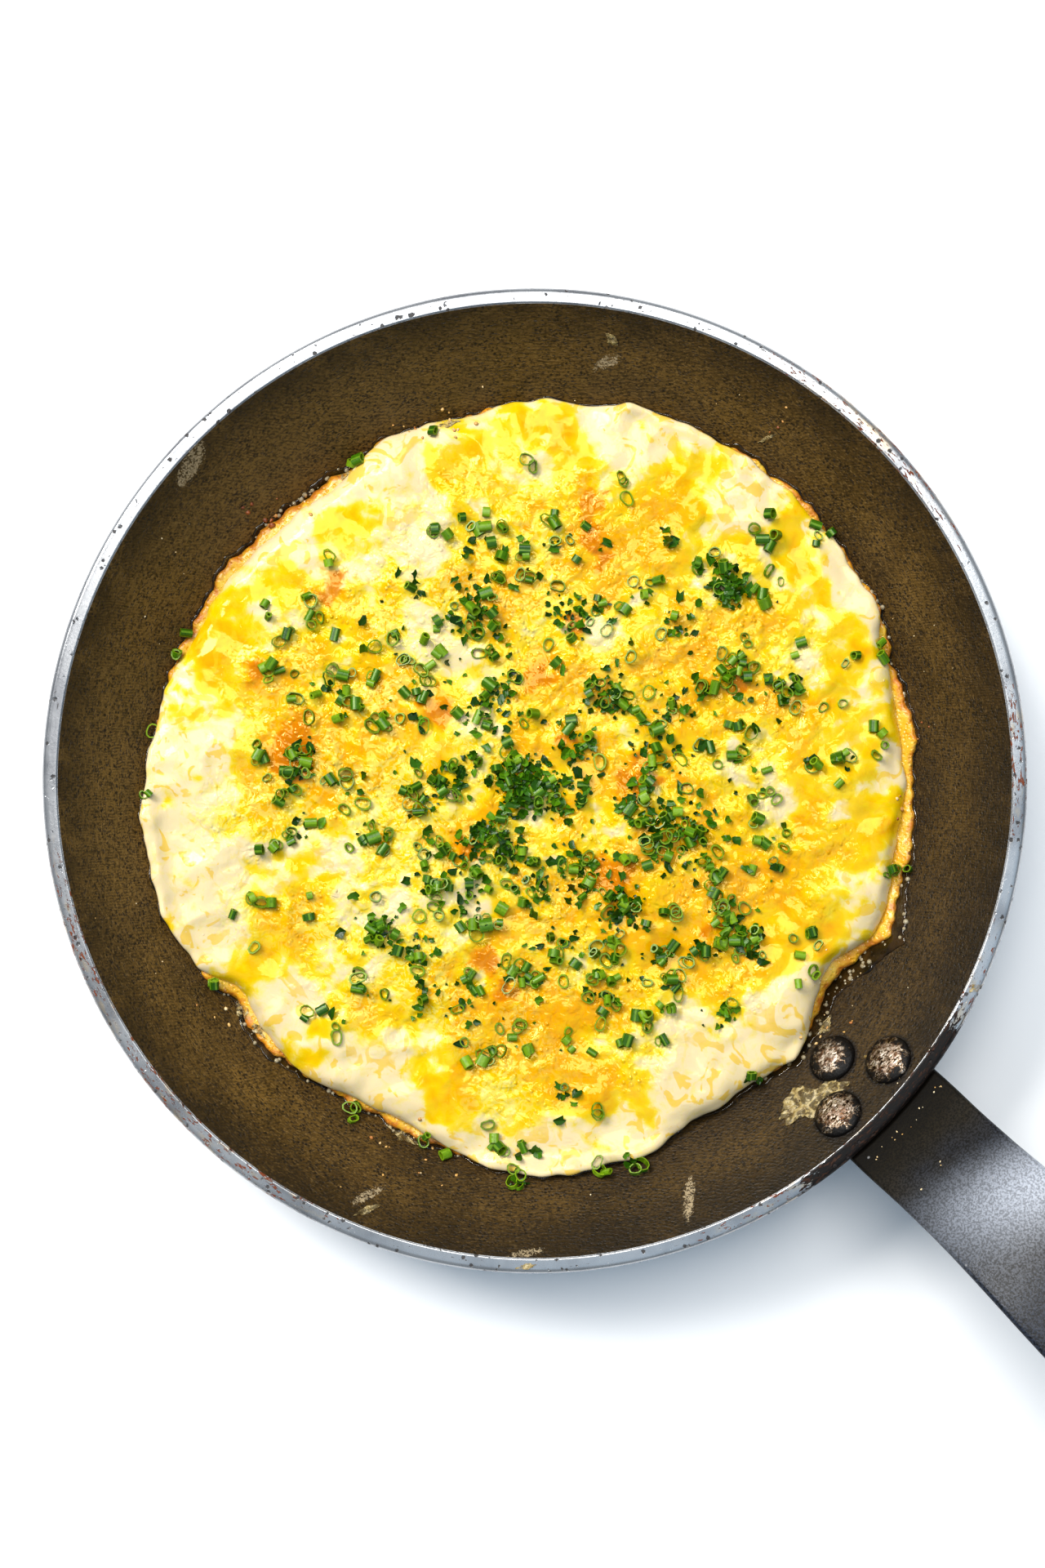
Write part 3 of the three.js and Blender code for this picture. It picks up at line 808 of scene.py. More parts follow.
# (direction from the handle, spread, millimetres outwards), in degrees
outlineBulges = [(93, 30, 1.7), (61, 4, -1.8), (124, 4, -1.6), (161, 20, -3.9), (157, 3.5, 2.0),
                 (238, 13, 2.0), (259, 3, -2.2), (284, 9, -2.2), (315, 10, 2.2), (337, 3.5, -2.2),
                 (347, 4, -2.6), (9, 6, -4.2), (20, 3.5, 2.0)]

# where the egg shows: (direction from the handle, spread, millimetres inwards of the sauce), in degrees
bareEgg = [(92, 12, 2.2), (182, 20, 4.2), (262, 7, 4.4), (293, 9, 3.8), (40, 22, 4.6), (8, 7, 3.0)]

# (right, up, spread, strength) in the view: raised lumps, golden pools of melted cheese, and toasted spots,
# which are all of strength 1
lumps = [(-86, 4, 11, 1.5), (-65, 39, 9, 0.7), (-60, 58, 8, 0.9), (-36, 76, 9, 1.2), (-30, 53, 10, 0.8),
         (22, 78, 11, 0.9), (52, 70, 10, 1.0), (88, 39, 9, 1.0), (73, 2, 9, 0.9), (80, -26, 9, 0.9),
         (63, -57, 9, 1.5), (38, -74, 11, 1.3), (7, -88, 10, 1.2), (-24, -84, 9, 0.9), (-49, -68, 9, 0.9),
         (-82, -24, 10, 1.0), (-14, 12, 13, 0.5), (24, 30, 8, 0.6), (30, -12, 12, 0.6), (-30, -36, 11, 0.7)]
pools = [
    (16, 64, 12, 1.3), (57, -34, 11, 1.0), (-6, -61, 13, 0.9), (88, 14, 9, 0.9), (-24, 84, 7, 0.8),
    (30, 72, 10, 0.4), (45, 36, 10, 0.6), (8, 22, 13, 0.8), (64, 12, 10, 0.7), (-72, 24, 10, 0.7),
    (-46, 12, 11, 0.8), (-66, 2, 10, 0.8), (36, 26, 9, 0.7), (8, -68, 10, 1.0), (-20, -58, 9, 0.6),
    (45, -26, 9, 0.8), (26, -36, 9, 0.8), (-30, 12, 9, 0.7), (-10, 52, 8, 0.6), (70, -10, 8, 0.4),
    (-84, 30, 6, 0.5), (-72, 40, 6, 0.4), (72, 54, 8, 0.6), (-62, -24, 8, 0.1), (-38, -52, 9, 0.2),
    (-28, -77, 7, 0.3), (12, -86, 10, 0.6), (-50, 40, 8, 0.6), (24, 0, 11, 0.8), (18, -24, 10, 0.9),
    (51, 66, 7, 0.5), (-35, 64, 7, 0.6), (-62, 50, 6, 0.8), (66, -8, 7, 0.5), (88, -8, 6, 0.7),
    (-20, -88, 6, 0.6), (-70, -45, 6, 0.6), (-18, -16, 9, 0.7), (48, 60, 8, 0.2), (-74, -12, 7, 0.3),
    (84, -28, 8, 0.8), (-52, -44, 7, 0.1), (55, -43, 8, 0.6), (60, -56, 9, 0.4), (-70, -57, 6, 0.7),
    (17, -73, 8, 0.5), (-42, 58, 7, 0.5), (28, -8, 7, 0.5),
]
toasted = [(-50, 50, 4.5), (-70, 28, 4.5), (-61, 12, 6.0), (-26, 18, 5.5), (25, 1, 6.0), (19, -25, 6.5),
           (-13, -45, 3.5), (-7, -53, 3.5), (-18, -17, 4.5), (2, 26, 5.5), (13, 68, 4.5), (16, 57, 4.0),
           (51, 23, 3.0), (10, 40, 3.0), (-61, 3, 3.5), (8, 10, 3.0), (45, -38, 3.0)]


# sum of size * exp(-(angle away / spread)^2 / 2)
def bulgeSum(bulges, degrees):
    total = np.zeros_like(degrees)
    for at, spread, size in bulges:
        away = (degrees - at + 540) % 360 - 180
        total = total + size * np.exp(-0.5 * (away / spread) ** 2)
    return total


# sum of strength * exp(-(distance / spread)^2 / 2) over spots placed in the view
def spotSum(spots, x, y):
    total = np.zeros_like(x)
    for right, up, spread, *strength in spots:
        px, py = onPan(right, up)
        away = ((x - px) ** 2 + (y - py) ** 2) / spread**2
        total = total + (strength[0] if strength else 1) * np.exp(-0.5 * away)
    return total


# the egg's radius by direction: mean, bulges, and two sizes of ripple round the edge
def eggEdge(angle):
    x, y = food["radius"] * np.cos(angle), food["radius"] * np.sin(angle)
    lace = 1.5 * noise(x, y, 7, 11) + 0.9 * noise(x, y, 2.6, 12)
    return food["radius"] + bulgeSum(outlineBulges, angle / degree) + lace


# the sauce's: the same bulges and the spill, less where the egg shows, and its own ripples
def sauceEdge(angle):
    x, y = food["radius"] * np.cos(angle), food["radius"] * np.sin(angle)
    ripple = 1.7 * noise(x, y, 13, 21) + 0.7 * noise(x, y, 4.5, 22)
    base = food["radius"] + bulgeSum(outlineBulges, angle / degree) + food["spill"]
    return base - bulgeSum(bareEgg, angle / degree) + ripple


# drop of a round shoulder, by how far in from the edge it is: size * drop * (1 - sqrt(1 - (1 - t)^2))
def shoulder(inset, size):
    t = np.clip(inset / size, 0, 1)
    return size * food["drop"] * (1 - np.sqrt(1 - (1 - t) ** 2))


# height of the egg: flat middle or climb at the wall, creases, and a round shoulder
def eggSurface(x, y, inset):
    climb = panInside(np.hypot(x, y)) + food["eggAtWall"]
    crease = 0.5 * layered(x, y, 9, 3, 31)
    return softMax(food["eggTop"], climb, food["blend"]) + crease - shoulder(inset, food["eggRound"])


# curds: the higher of large and small domes, on warped coordinates, 0 in the gaps and 1 on the large tops
def curdAt(x, y):
    wx = x + 2.2 * layered(x, y, 7, 2, 77)
    wy = y + 2.2 * layered(x, y, 7, 2, 79)
    return np.maximum(domes(wx, wy, 9, 0.62, 81), 0.62 * domes(wx, wy, 4.8, 0.6, 86))


# how melted and golden the sauce is, from 0, cream, to 1: pools less lumps, streaks, and paler by the edge
def meltAt(x, y):
    wx = x + 5 * layered(x, y, 14, 3, 41)
    wy = y + 5 * layered(x, y, 14, 3, 45)
    streaks = 0.85 * layered(wx, wy, 15, 4, 49) + 0.35 * layered(x, y, 4.5, 2, 55)
    inset = sauceEdge(np.arctan2(y, x)) - np.hypot(x, y)
    pale = smooth(1.15 - inset / 10 + 1.7 * noise(x, y, 17, 58))
    spots = 0.5 * spotSum(pools, wx, wy) - 0.5 * spotSum(lumps, wx, wy)
    return smooth(0.46 + spots - 0.4 * pale + streaks)


# how browned: the toasted spots with ragged edges
def toastAt(x, y):
    wx = x + 4 * layered(x, y, 7, 3, 61)
    wy = y + 4 * layered(x, y, 7, 3, 65)
    return smooth(1.3 * spotSum(toasted, wx, wy) + 0.5 * layered(x, y, 5, 3, 69) - 0.3)


# where the sauce still runs and ripples: everywhere but a smooth border 10 to 25 mm wide, in drifts
def wetAt(x, y):
    inset = sauceEdge(np.arctan2(y, x)) - np.hypot(x, y)
    return smooth((inset - 9 + 14 * noise(x, y, 19, 118)) / 16) * smooth(0.95 + 1.5 * noise(x, y, 21, 119))


# Height of the sauce: flat middle or climb at the wall, lumps, folds 1 - 2.2 |noise| and soft waves, low
# curds, ripples and bubbles where it is wet, and a round shoulder.
def sauceSurface(x, y, inset):
    climb = panInside(np.hypot(x, y)) + food["sauceAtWall"]
    level = softMax(food["eggTop"] + food["sauce"], climb, food["blend"])
    inner = smooth(inset / 3)
    wet = wetAt(x, y)
    folds = 0.8 * (1 - 2.2 * np.abs(noise(x + 3 * noise(x, y, 9, 71), y, 15, 72)))
    folds = folds + 1.1 * layered(x + 3 * noise(x, y, 11, 74), y, 10, 2, 75) * (1 - 0.6 * wet)
    curd = 0.42 * curdAt(x, y) * smooth((inset - 7) / 12) - 0.14
    warpedX, warpedY = x + 2 * noise(x, y, 6, 91), y + 2 * noise(x, y, 6, 92)
    ripples = (0.08 + 0.24 * wet) * layered(warpedX, warpedY, 5.5, 2, 93)
    bubbles = 0.34 * domes(x, y, 2.7, 0.5, 101) * smooth(2.2 * wet - 0.7 + 1.4 * noise(x, y, 12, 105))
    relief = folds + curd + ripples + bubbles
    return level + 1.5 * spotSum(lumps, x, y) + inner * relief - shoulder(inset, food["sauceRound"])


# The square [-1, 1]^2 wrapped onto a disc: share of the radius max(|u|, |v|), angle pi/4 times the smaller
# over the larger, turned to its quarter. Rings crowd towards the edge as t^2 / (t + 0.03).
def discGrid(count):
    a = np.linspace(-1, 1, count + 1)
    u, v = np.meshgrid(a, a)
    wide = np.abs(u) >= np.abs(v)
    main = np.where(wide, u, v)
    ratio = np.where(wide, v, u) / np.where(main == 0, 1, main)
    angle = np.where(wide, ratio, 2 - ratio) * math.pi / 4 + np.where(main < 0, math.pi, 0)
    t = 1 - np.abs(main)
    crowd = 0.03
    share = 1 - t * t / (t + crowd) * (1 + crowd)
    i, j = np.meshgrid(np.arange(count), np.arange(count), indexing="ij")
    first = i * (count + 1) + j
    quads = np.stack([first, first + 1, first + count + 2, first + count + 1], -1).reshape(-1, 4)
    index = np.arange((count + 1) ** 2).reshape(count + 1, count + 1)
    rim = np.concatenate([index[0, :-1], index[:-1, -1], index[-1, :0:-1], index[:0:-1, 0]])
    return share.ravel(), angle.ravel(), quads, rim


# A closed blanket: its top on a disc grid, a side of rings that rounds under by r = edge + 0.3 sin(pi t) -
# tuck t^2, and an underside of rings that shrink to a middle point.
def blanket(count, edge, top, bottom):
    share, angle, quads, rim = discGrid(count)
    reach = edge(angle)
    x, y = share * reach * np.cos(angle), share * reach * np.sin(angle)
    inset = (1 - share) * reach
    z = top(x, y, inset)
    layers = [np.stack([x, y, z], -1)]
    rimAngle, rimReach, rimZ = angle[rim], reach[rim], z[rim]
    ring = rim
    faces = [quads]
    total = len(x)

    def addRing(r, height):
        nonlocal ring, total
        layers.append(np.stack([r * np.cos(rimAngle), r * np.sin(rimAngle), height], -1))
        new = total + np.arange(len(rim))
        after, newAfter = np.roll(ring, -1), np.roll(new, -1)
        faces.append(np.stack([ring, new, newAfter, after], -1))
        ring = new
        total += len(rim)

    for t in (0.25, 0.5, 0.75, 1.0):
        r = rimReach + 0.3 * math.sin(math.pi * t) - food["tuck"] * t * t
        low = panInside(r) + food["gap"]
        addRing(r, np.maximum(rimZ + (low - rimZ) * t, low))
    for part in (0.97, 0.9, 0.75, 0.5, 0.25):
        r = (rimReach - food["tuck"]) * part
        addRing(r, bottom(r * np.cos(rimAngle), r * np.sin(rimAngle)))
    layers.append([[0, 0, float(bottom(np.zeros(1), np.zeros(1))[0])]])
    faces.append(fan(total, ring, False))
    return np.vstack(layers), faces


# Fried egg: yellow, browned and charred by noise, more so at the outer edge, pored, with a moist shine.
def eggLook():
    look = Look("friedEgg")
    rim = look.stored("rim")
    blotch = look.noise(5, 4, 0.6, 0.8)
    yellow = look.ramp(blotch, (0.3, rgb(220, 186, 70)), (0.55, rgb(214, 160, 24)), (0.75, rgb(204, 124, 10)))
    brown = (look.noise(3.4, 4, 0.65) * 1.3 + rim * 0.3).step(0.68, 1.05)
    colour = look.mix(brown * 0.85, yellow, rgb(176, 92, 12))
    char = (look.noise(1.3, 3, 0.6) + rim * 0.25).step(0.78, 0.95)
    colour = look.mix(char * 0.75, colour, rgb(96, 44, 12))
    pore = look.cells(1.1).step(0.1, 0.5)
    return look.finish(
        Base_Color=colour,
        Roughness=0.26 + brown * 0.2,
        Normal=look.bump(pore * 0.16 + look.noise(0.8, 2) * 0.12),
        Subsurface_Weight=0.15,
        Subsurface_Radius=(1.0, 0.5, 0.1),
        Subsurface_Scale=0.002,
    )


# Cheese sauce: cream where not melted, golden where melted, in veins of noise. Golden rings round small
# bubbles, a painted glare of pale islands where wet, mostly to the left, golden drips where dry, toasted
# spots, and a gloss that is smoothest where wet.
def sauceLook():
    look = Look("glazedSauce")
    melt = look.stored("melt")
    toast = look.stored("toast")
    curd = look.stored("curd")
    wet = look.stored("wet")
    veins = look.noise(4.2, 3, 0.55, 1.6)
    fine = look.noise(0.9, 3, 0.55, 0.6)
    yellow = melt * 0.84 + (veins - 0.5) * 0.56 + (fine - 0.5) * 0.08 - 0.005
    yellow = yellow - (curd - 0.35) * wet * 0.2
    colour = look.ramp(
        yellow,
        (0.0, rgb(216, 196, 152)),
        (0.13, rgb(216, 195, 118)),
        (0.26, rgb(216, 186, 40)),
        (0.42, rgb(214, 178, 0)),
        (0.68, rgb(214, 165, 0)),
        (0.95, rgb(211, 143, 0)),
    )
    ringed = look.cells(1.6)
    ring = ringed.step(0.16, 0.26) * (1 - ringed.step(0.3, 0.46))
    bubbly = wet * look.noise(7, 3).step(0.42, 0.58)
    colour = look.mix(ring * bubbly * yellow.step(0.1, 0.5) * 0.55, colour, rgb(208, 140, 0))
    # painted reflection: pale islands where wet, mostly to the left, fewer on toasted and melted parts
    island = (look.noise(3.2, 3, 0.5, 2.4) + (fine - 0.5) * 0.15).step(0.47, 0.52)
    leftward = 1 - look.reach(*onPan(1, 0), 0).step(-40, 50) * 0.75
    paintedGlare = island * wet * look.noise(15, 3).step(0.36, 0.54) * leftward
    paintedGlare = paintedGlare * (1 - toast) * (1 - melt * 0.45)
    colour = look.mix(paintedGlare * 0.8, colour, rgb(216, 206, 104))
    drip = look.noise(7, 2, 0.5, 1.6).step(0.56, 0.61) * (1 - wet)
    colour = look.mix(drip * 0.75, colour, rgb(214, 172, 20))
    heat = toast + (fine - 0.5) * 0.3 + (veins - 0.5) * 0.6
    colour = look.mix(heat.step(0.3, 0.85) * 0.85, colour, rgb(208, 128, 0))
    colour = look.mix(heat.step(0.62, 1.1) * 0.8, colour, rgb(182, 98, 0))
    dome = 1 - ringed.step(0.0, 0.42)
    ripple = look.noise(2.8, 1, 0.35, 1.6)
    height = dome * bubbly * 0.24 + ripple * (wet * 0.3 + 0.06)
    return look.finish(
        Base_Color=colour,
        Roughness=0.13 - wet * 0.08,
        Normal=look.bump(height),
        Subsurface_Weight=0.14,
        Subsurface_Radius=(1.0, 0.5, 0.12),
        Subsurface_Scale=0.0015,
        Specular_IOR_Level=0.58,
        Specular_Tint=(1.0, 0.8, 0.28, 1),
    )


# the egg's blanket on the pan, with how near its edge each point is
def buildEgg():
    def below(x, y):
        return panInside(np.hypot(x, y)) + food["gap"]

    points, faces = blanket(food["eggGrid"], eggEdge, eggSurface, below)
    angle = np.arctan2(points[:, 1], points[:, 0])
    rim = smooth(1 - (eggEdge(angle) - np.hypot(points[:, 0], points[:, 1])) / 2.5)
    makePiece("eggBase", points, faces, eggLook(), ["egg_base"], {"rim": rim})


# the sauce's blanket on egg and pan, whose underside sinks 0.4 mm into the egg
def buildSauce():
    def below(x, y):
        r = np.hypot(x, y)
        inset = eggEdge(np.arctan2(y, x)) - r
        return np.maximum(eggSurface(x, y, inset) - 0.4, panInside(r) + food["gap"])

    points, faces = blanket(food["sauceGrid"], sauceEdge, sauceSurface, below)
    x, y = points[:, 0], points[:, 1]
    values = {"melt": meltAt(x, y), "toast": toastAt(x, y), "curd": curdAt(x, y), "wet": wetAt(x, y)}
    makePiece("cheeseSauce", points, faces, sauceLook(), ["cheese_sauce"], values)


# Height over the pan on a square grid: pan, egg and sauce, whichever is highest. The base stays, and the
# top rises as pieces are laid on it.
class Ground:
    pace = 0.4
    half = 119.6  # from the middle to the grid's side

    def __init__(self):
        a = np.arange(-self.half, self.half + self.pace, self.pace)
        self.count = len(a)
        x, y = np.meshgrid(a, a, indexing="ij")
        r, angle = np.hypot(x, y), np.arctan2(y, x)
        height = np.where(r < pan["rimInside"], panInside(r), panHeight)
        for edge, surface in ((eggEdge, eggSurface), (sauceEdge, sauceSurface)):
            inset = edge(angle) - r
            height = np.where(inset > 0, np.maximum(height, surface(x, y, inset)), height)
        self.base = height
        self.top = height.copy()
        slopeX, slopeY = np.gradient(height, self.pace)
        normal = np.stack([-slopeX, -slopeY, np.ones_like(height)], -1)
        self.normal = normal / np.linalg.norm(normal, axis=-1, keepdims=True)

    # the grid's row or column that is nearest to a place
    def cell(self, value):
        return np.clip(np.rint((value + self.half) / self.pace).astype(int), 0, self.count - 1)

    # height of the bare ground
    def under(self, x, y):
        return self.base[self.cell(x), self.cell(y)]

    # the mean normal of a patch, so that a piece doesn't follow a single bubble
    def facing(self, x, y, reach):
        i, j = self.cell(x), self.cell(y)
        k = max(1, int(reach / self.pace))
        mean = self.normal[max(0, i - k):i + k + 1, max(0, j - k):j + k + 1].mean((0, 1))
        return mean / np.linalg.norm(mean)

    # Lays a piece down: it rests halfway between the mean and the highest of its patch, and then raises it.
    def settle(self, x, y, reach, thick):
        i, j = self.cell(x), self.cell(y)
        k = max(1, int(reach / self.pace))
        patch = self.top[max(0, i - k):i + k + 1, max(0, j - k):j + k + 1]
        height = float(np.mean(patch) * 0.5 + np.max(patch) * 0.5)
        np.maximum(patch, height + thick, out=patch)
        return height


# (right, up, spread, how many chives, how many parsley flakes) in the view
herbPatches = [
    (-12, 64, 4, 8, 0), (-24, 63, 2.5, 3, 0), (-2, 79, 2, 2, 0), (21, 75, 3, 3, 0), (7.5, 62, 3.5, 6, 2),
    (-5, 53, 5, 11, 4), (-16.5, 42, 4, 9, 40), (33, 62, 2, 0, 6), (29, 49, 3, 4, 0), (18, 42, 4, 6, 6),
    (8.5, 41, 3.5, 2, 30), (-9, 32.5, 4, 4, 6), (-28, 26, 4, 7, 4), (-32, 35, 5, 9, 3), (-52, 54, 2, 2, 0),
    (-53, 43, 4, 6, 0), (-63, 40, 4, 5, 0), (-64, 27, 3.5, 7, 0), (-47, 24, 5, 12, 3), (-38, 18, 5, 8, 2),
    (-59, 5.5, 3.5, 9, 16), (-69.5, 6.5, 2.5, 4, 0), (-61, -1, 4, 8, 0), (-47, -1, 4, 6, 4),
    (-66, -15, 3, 5, 0), (-69, -30, 3, 4, 0), (-75, -34, 1.5, 1, 0), (-71, -42, 1, 1, 0),
    (-55, -32, 2, 2, 0), (-57, -13, 3, 3, 5), (-38, -15.5, 5, 9, 4), (-29, -4, 5, 10, 14),
    (-21, 1, 4, 6, 34), (-11, 14, 5, 5, 22), (-9, 22, 3.5, 3, 26), (-3, -1, 5, 12, 190),
    (-11, -15.5, 5, 10, 90), (-23, -20.5, 5, 12, 20), (7.5, -4, 4, 5, 50), (10.5, 8.5, 4, 4, 30),
    (-1, -27, 4, 5, 30), (11.5, -22.5, 5, 10, 34), (19, 21, 3.5, 8, 46), (28, 19, 4, 5, 6),
    (35.5, 18, 3, 2, 14), (45, 27, 4, 10, 3), (52, 29.5, 4, 9, 3), (49, 48.5, 3, 3, 90),
    (58.5, 47.5, 4, 5, 2), (43, 55.5, 3, 3, 8), (35.5, 40, 4, 2, 16), (63.5, 23, 3, 8, 22),
    (76, 18, 2, 2, 0), (66, 32.5, 2, 2, 0), (72.5, 60.5, 3, 4, 0), (57.5, 62.5, 3, 5, 0),
    (82.5, 32.5, 3, 4, 0), (86.5, 10.5, 3, 4, 0), (78, 4.5, 3, 5, 2), (70, 5.5, 2, 2, 3),
    (57.5, -4, 4, 7, 2), (52, 12.5, 4, 6, 0), (43, 5.5, 4, 4, 0), (31.5, 5.5, 5, 6, 16),
    (27, -7, 4.5, 9, 44), (37.5, -11, 4, 8, 52), (40, -19.5, 4, 5, 8), (28, -18.5, 4, 9, 14),
    (23, -32, 3.5, 6, 44), (33.5, -32.5, 2.5, 4, 0), (48, -26, 4.5, 7, 2), (57.5, -21.5, 4, 6, 2),
    (49, -36, 4, 8, 6), (55, -41, 3, 6, 36), (44, -41.5, 3, 6, 6), (69, -38.5, 3, 4, 0),
    (67, -49, 3.5, 4, 0), (91, -21.5, 2, 3, 0), (-38, -38.5, 3, 11, 36), (-29.5, -43, 3, 3, 16),
    (-25, -31, 5, 9, 4), (-16.5, -29, 3.5, 3, 16), (-12, -37, 3, 7, 0), (-17.5, -54, 4, 7, 8),
    (-3, -50, 4, 9, 12), (7.5, -43.5, 3.5, 5, 4), (19, -42.5, 4, 9, 4), (17.5, -52, 3.5, 9, 4),
    (31.5, -43.5, 3, 5, 0), (34.5, -50, 3.5, 9, 2), (30, -58, 4.5, 11, 0), (48, -59, 3.5, 2, 12),
    (10.5, -64.5, 4, 5, 0), (-3, -65.5, 4, 5, 0), (-12, -69.5, 3, 6, 0), (21, -64.5, 3, 2, 0),
    (7.5, -80, 3, 1, 8), (17, -82, 1.5, 2, 0), (-10, -90.5, 2.5, 5, 0), (-2, -92.5, 2, 1, 6),
    (-3, -99.5, 2, 4, 6), (18.5, -97.5, 2, 3, 0), (25, -95.5, 1.5, 2, 4), (55.5, -75, 1.5, 1, 2),
    (-51, -60, 3, 3, 2), (-57, -57, 2, 2, 0), (-44.5, -51.5, 2, 3, 0), (-29, -53, 2.5, 1, 8),
    (-81.5, -51.5, 1.5, 2, 0), (-45, -84, 2, 3, 0), (-29, -90.5, 1.5, 2, 0), (-23.5, -95, 1, 1, 0),
    (-45, 80.5, 1.2, 2, 0), (-88, 37, 1, 1, 0), (-90, 31.5, 1, 2, 0), (-96.5, 12, 0.8, 1, 0),
    (-99, -3, 1.5, 2, 0), (95, -22, 0.8, 1, 0), (-25, 87.5, 1, 1, 0),
]
herb = {
    "looseChives": 56,
    "looseFlakes": 240,
    "looseReach": 66,  # how far from the middle loose ones lie
    "looseDrop": 3,  # how far down the view their middle is
    "patchSpread": 1.5,
    "ringShare": 0.5,  # of the chives, as thin rings, the others as tubes
    "ringRadius": (1.0, 1.85),
    "ringLength": (0.5, 1.3),
    "ringTilt": (0, 24),  # tilts are in degrees from upright
    "tubeRadius": (0.75, 1.35),
    "tubeLength": (1.5, 3.3),
    "tubeLying": (76, 94),
    "tubeLeaning": (35, 65),
    "lyingShare": 0.75,
    "chiveSides": 12,
    "flakeLeast": 0.42,  # radius of the smallest flake
    "flakeMore": 1.1,  # what the largest adds to that
    "flakeTilt": (0, 50),
    "flakeSides": 9,
    "flakeHalfThick": 0.06,
    "sunk": 0.15,
}
chive, flake = 0, 1


# axes for many pieces: along the ground, as near to the heading as the normal allows, across, and up
def restingAxes(normals, headings):
    guess = np.stack([np.cos(headings), np.sin(headings), np.zeros_like(headings)], -1)
    along = guess - normals * np.sum(guess * normals, -1, keepdims=True)
    along /= np.linalg.norm(along, axis=-1, keepdims=True)
    return along, np.cross(normals, along), normals


# Where every chive and flake lies, laid down in a mixed order so that they pile up on one another. A row
# is its place, its normal, its radius, length and tilt, and six numbers from 0 to 1 for its shape.
def scatterHerbs(ground):
    dice = np.random.default_rng(7)
    spots = []
    for right, up, spread, chives, flakes in herbPatches:
        for kind, count in ((chive, chives), (flake, flakes)):
            reach = spread * herb["patchSpread"] * np.sqrt(dice.random(count))
            reach = reach * dice.choice([0.75, 1.2], count)
            turn = 2 * math.pi * dice.random(count)
            spots += [(kind, right + a * math.cos(b), up + a * math.sin(b)) for a, b in zip(reach, turn)]
    for kind, count in ((chive, herb["looseChives"]), (flake, herb["looseFlakes"])):
        reach = herb["looseReach"] * np.sqrt(dice.random(count))
        turn = 2 * math.pi * dice.random(count)
        spots += [(kind, a * math.cos(b), a * math.sin(b) - herb["looseDrop"]) for a, b in zip(reach, turn)]
    dice.shuffle(spots)
    placed = {chive: [], flake: []}
    for kind, right, up in spots:
        x, y = onPan(right, up)
        ringCut = dice.random() < herb["ringShare"]
        if kind == chive and ringCut:
            radius, length = dice.uniform(*herb["ringRadius"]), dice.uniform(*herb["ringLength"])
            tilt = dice.uniform(*herb["ringTilt"])
        elif kind == chive:
            radius, length = dice.uniform(*herb["tubeRadius"]), dice.uniform(*herb["tubeLength"])
            tilts = [dice.uniform(*herb["tubeLying"]), dice.uniform(*herb["tubeLeaning"])]
            tilt = dice.choice(tilts, p=[herb["lyingShare"], 1 - herb["lyingShare"]])
        else:
            radius = herb["flakeLeast"] + herb["flakeMore"] * dice.random() ** 1.5
            length, tilt = radius, dice.uniform(*herb["flakeTilt"])
        if kind == chive:
            reach, thick = max(radius, 0.4 * length), radius * (0.2 if ringCut else 0.8)
        else:
            reach, thick = 0.7 * radius, 0.3
        height = ground.settle(x, y, reach, thick)
        normal = ground.facing(x, y, 2)
        placed[kind].append([x, y, height, *normal, radius, length, tilt, *dice.random(6)])
    return np.array(placed[chive]), np.array(placed[flake])


# Chives: r = a (1 - e cos 2u + f cos 3u) round a cut tube, outer and inner wall, more or less squashed by
# e, bent along its length, its ends cut aslant, then tilted and laid on the ground.
def buildChives(rows):
    sides = herb["chiveSides"]
    spots, normals, (radius, length, tilt), dice = rows[:, :3], rows[:, 3:6], rows[:, 6:9].T, rows[:, 9:].T
    u = np.arange(sides) * 2 * math.pi / sides
    squash = 0.04 + 0.3 * dice[0][:, None] ** 1.5
    shape = 1 - squash * np.cos(2 * u) + 0.06 * np.cos(3 * u + 6 * dice[1][:, None])
    wall = np.where(length < 1.5, 0.24 + 0.14 * dice[2], 0.32 + 0.18 * dice[2])
    slant = (dice[3] - 0.5)[:, None] * 0.9
    outer, inner = radius[:, None] * shape, (radius - wall)[:, None] * shape
    half = length[:, None] / 2
    radii = np.stack([outer, outer, inner, inner], 1)
    ends = np.stack([-half, half, half, -half], 1) * np.ones((1, 1, sides))
    x, y = radii * np.cos(u), radii * np.sin(u)
    lopsided = np.stack([-slant, slant, slant, -slant], 1) * (dice[5] - 0.3)[:, None, None]
    z = ends + slant[:, None] * x * 0.5 + lopsided * x
    bent = (dice[5] - 0.5)[:, None, None] * 0.12 * z * z
    lean = (tilt * degree)[:, None, None]
    leantX = (x + bent) * np.cos(lean) + z * np.sin(lean)
    leantZ = z * np.cos(lean) - (x + bent) * np.sin(lean)
    along, across, up = restingAxes(normals, dice[4] * 2 * math.pi)
    centre = spots - normals * (leantZ.min((1, 2)) + herb["sunk"])[:, None]
    local = np.stack([leantX, y, leantZ], -1).reshape(len(rows), -1, 3)
    points = centre[:, None] + local @ np.stack([along, across, up], 1)
    faces = repeated(ringQuads(4, sides), len(rows), 4 * sides)
    part = np.tile(np.repeat([0, 0.5, 1, 0.5], sides), len(rows))
    rib = np.tile(np.arange(sides) % 3 == 0, 4 * len(rows))
    values = {"part": part, "rib": rib, "tone": np.repeat(dice[1], 4 * sides)}
    makePiece("cutChives", points.reshape(-1, 3), [faces], chiveLook(), values=values, sharp=62)


